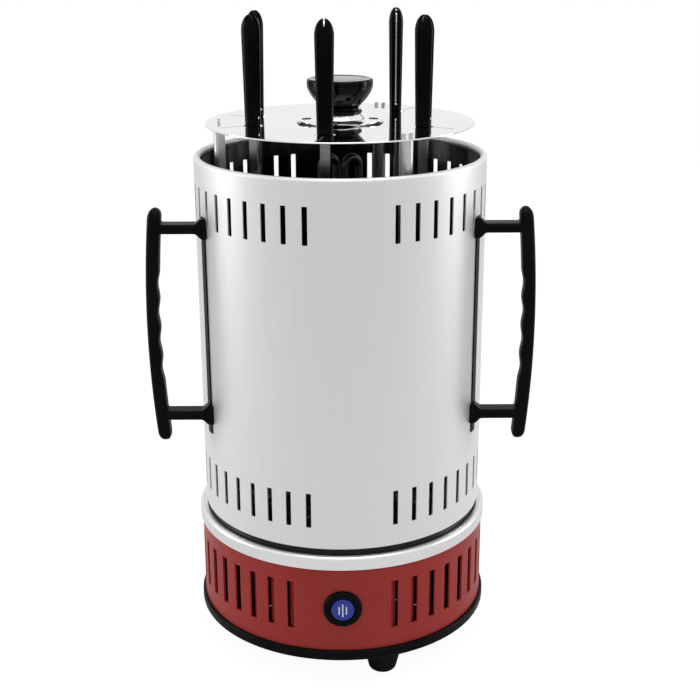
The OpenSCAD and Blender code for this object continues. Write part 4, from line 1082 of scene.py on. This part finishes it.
# %% Blades and sills
blade_t = 1.3 * MM
blade_short = 0.3 * MM
louvre_in = 0.15 * MM
far_x = louvre_w / 2 - blade_short
back_r = housing_r - wall_t - louvre_deep
sill_fall = 1.8 * MM
blade = slab("blade", [(-louvre_w / 2, housing_r - louvre_in), (far_x, back_r), (far_x - blade_t, back_r),
                       (-louvre_w / 2 - blade_t, housing_r - wall_t),
                       (-louvre_w / 2 - blade_t, housing_r - wall_t / 2)],
             louvre_z - blade_t, louvre_z + louvre_h + blade_t)
blade.rotation_euler.x = math.pi / 2
sill = slab("sill", [(-housing_r + louvre_in, louvre_z), (-back_r, louvre_z - sill_fall),
                     (-back_r, louvre_z - sill_fall - blade_t), (-housing_r + wall_t, louvre_z - blade_t),
                     (-housing_r + wall_t / 2, louvre_z - blade_t)], -louvre_w / 2, louvre_w / 2)
sill.rotation_euler.z = math.pi / 2
louvre = joined([settle(blade), settle(sill)], "louvre")
mirrored = twin(louvre, "mirrored")
mirrored.scale.x = -1
settle(mirrored)
right = round_bearings(louvre, louvre_bearings, "right_louvres")
left = round_bearings(mirrored, [-b for b in louvre_bearings], "left_louvres")
print("louvres", len(right.data.polygons) + len(left.data.polygons), "faces")


# %% Raised lines
def wire(name, points, r, sides=3):
    """A round wire along a line of points."""
    path = bpy.data.curves.new(name, "CURVE")
    path.dimensions = "3D"
    path.bevel_depth = r
    path.bevel_resolution = sides
    line = path.splines.new("POLY")
    line.points.add(len(points) - 1)
    for dot, point in zip(line.points, points):
        dot.co = (*point, 1)
    made = bpy.data.objects.new(name, path)
    bpy.context.scene.collection.objects.link(made)
    alone(made)
    bpy.ops.object.convert(target="MESH")
    return bpy.context.object


line_round = 4 * MM
line_gap = 0.4 * MM
line_sunk = 0.1 * MM
line_wire_r = 0.3 * MM
weld_near = 0.001 * MM
first_x = housing_r * math.sin(math.radians(louvre_first)) - louvre_w / 2
flat_line = [(first_x - line_gap, louvre_z)]
flat_line += arc((first_x, louvre_z + line_round), line_round, -95, -180, 8)
flat_line += arc((first_x, louvre_z + louvre_h - line_round), line_round, 180, 95, 8)
flat_line += [(first_x - line_gap, louvre_z + louvre_h)]
raised_lines = []
for side in (-1, 1):
    points = [(side * x, -math.sqrt((housing_r - line_sunk) ** 2 - x * x), z) for x, z in flat_line]
    raised_lines.append(wire("line", points, line_wire_r))
housing = joined([housing, right, left] + raised_lines, "housing")
modify(housing, "WELD", merge_threshold=weld_near)
dress(housing, "base_housing_look", red_skin, "base", ("base_housing",), smooth=40)

# %% [markdown]
# ## Trim ring, pan and feet
# A brushed steel ring covers the top of the housing. A fine line is turned into its upper face. Under
# the housing the black pan shows as a rim, and three rounded feet stand under it.

# %% Trim ring
trim_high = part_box("trim_ring")[1]
trim_r = trim_high.x
trim_top = trim_high.z
trim_under = 0.8 * MM
trim_in = drum_r - trim_under
trim_t = 1.2 * MM
turn_r = 2.4 * MM
turned_in = 2.6 * MM
turned_deep = 0.3 * MM
turned_slope = 0.15 * MM
turned_w = 0.5 * MM
line_r = trim_r - turned_in
section = [(trim_r - trim_t, trim_z), (trim_r, trim_z)]
section += arc((trim_r - turn_r, trim_top - turn_r), turn_r, 0, 90, 10)
section += [(line_r, trim_top), (line_r - turned_slope, trim_top - turned_deep),
            (line_r - turned_w + turned_slope, trim_top - turned_deep), (line_r - turned_w, trim_top)]
section += arc((trim_in + broken, trim_top - broken), broken, 90, 180, 5)
section += [(trim_in, trim_z), (trim_in + trim_t, trim_z), (trim_in + trim_t, trim_top - trim_t)]
section += arc((trim_r - turn_r, trim_top - turn_r), turn_r - trim_t, 90, 0, 6)
section += [(trim_r - trim_t, trim_z)]
trim = lathe("trim", section, steps=360)
dress(trim, "trim_ring_look", trim_steel, "base", ("trim_ring",), smooth=40)

# %% Pan and feet
pan_edge = 0.35 * MM
pan = softened("base_pan", pan_edge)
dress(pan, "base_pan_look", black_skin, "base", ("base_pan",))
foot_h = 20 * MM
foot_low_r = 10.4 * MM
foot_top_r = 14 * MM
foot_low_round = 4 * MM
foot_taper = 0.4 * MM
foot_shoulder_z = 16.5 * MM
foot_collar_z = 18 * MM
recess_r = 5 * MM
recess_h = 8 * MM
recess_edge = 0.2 * MM
foot_screw_r = 1.6 * MM
foot_place = 91 * MM
foot_bearings = (18.8, 138.8, 258.8)
section = [(recess_r, recess_edge), (recess_r + 2 * recess_edge, 0)]
section += arc((foot_low_r - foot_low_round, foot_low_round), foot_low_round, -90, -10, 8)
section += [(foot_top_r - foot_taper, foot_shoulder_z), (foot_top_r, foot_collar_z), (foot_top_r, foot_h),
            (foot_screw_r, foot_h), (foot_screw_r, recess_h), (recess_r, recess_h), (recess_r, recess_edge)]
foot = lathe("foot", section, steps=72)
foot.location.y = -foot_place
feet = round_bearings(settle(foot), foot_bearings, "feet")
dress(feet, "feet_look", rubber, "base", ("feet",), smooth=40)

# %% [markdown]
# ## The button
# A black bezel stands out of the housing round a blue cap, which carries three plain raised bars.
# Both are spun, then tipped to face the front.


# %% Bezel
def faced(piece, y):
    """Tips a spun piece so that its top faces the front, and sets it in the housing."""
    piece.rotation_euler.x = -math.pi / 2
    settle(piece)
    piece.location = (0, y, button_z)
    return settle(piece)


bezel_r = 13.8 * MM
cap_r = 8.4 * MM
bezel_out = 2.9 * MM
cap_out = 0.4 * MM
cap_gap = 0.4 * MM
inner_round = 0.8 * MM
inner_z = 1.2 * MM
outer_round = 2 * MM
bezel_h = 4.1 * MM
barrel_r = 11.2 * MM
barrel_h = 10 * MM
bezel_y = -housing_r - bezel_out
cap_y = bezel_y - cap_out
section = [(cap_r + cap_gap, barrel_h), (cap_r + cap_gap, 2 * inner_round)]
section += arc((cap_r + cap_gap + inner_round, inner_z), inner_round, 180, 262, 5)
section += arc((bezel_r - outer_round, outer_round), outer_round, 275, 360, 10)
section += [(bezel_r, bezel_h), (barrel_r, bezel_h), (barrel_r, barrel_h), (cap_r + cap_gap, barrel_h)]
bezel = faced(lathe("bezel", section, steps=144), bezel_y)
dress(bezel, "switch_bezel_look", black_skin, "base", ("switch_bezel",), smooth=40)

# %% Blue cap, a little hollow
cap_round = 1.2 * MM
cap_rim = 1.8 * MM
cap_hollow = 0.25 * MM
half_way_hollow = 0.2 * MM
section = [(0, cap_hollow), (cap_r / 2, half_way_hollow), (cap_r - cap_rim, 0)]
section += arc((cap_r - cap_round, cap_round), cap_round, 280, 360, 8)
section += [(cap_r, barrel_h), (0, barrel_h)]
cap = faced(lathe("cap", section, steps=96), cap_y)
dress(cap, "button_cap_look", blue_cap, "button", ("button_cap",), smooth=50)

# %% Three bars on the cap
bar_step = 2.6 * MM
bar_half_w = 0.45 * MM
bar_out = 0.25 * MM
bar_root = 1 * MM
long_bar = 10 * MM
short_bar = 6 * MM
bar_edge = 0.2 * MM
bars = []
for middle, length in ((-bar_step, short_bar), (0, long_bar), (bar_step, short_bar)):
    raised_bar = block("bar", (middle - bar_half_w, cap_y - bar_out, button_z - length / 2),
                       (middle + bar_half_w, cap_y + bar_root, button_z + length / 2))
    bars.append(modify(raised_bar, "BEVEL", width=bar_edge, segments=3))
dress(joined(bars, "bars"), "button_bars_look", white_plastic, "button", (), smooth=50)

# %% [markdown]
# ## What is inside and under the grill
# The remaining pieces show through the slots, from below, or once the drum is lifted off. Their shape
# comes from the frame. Each gets a copy with its edges broken, because an edge without a highlight is
# what gives a computer drawing away.

# %% Copies with broken edges
soft_edge = 0.2 * MM
shown = [name for name, node in nodes.items() if not node.hide_render]
for name in shown:
    copy = softened(name, soft_edge)
    dress(copy, name + "_look", finish_of_slot[slot_of_node[name]], nodes[name]["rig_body"],
          (name,))
print("copies with broken edges:", len(shown))
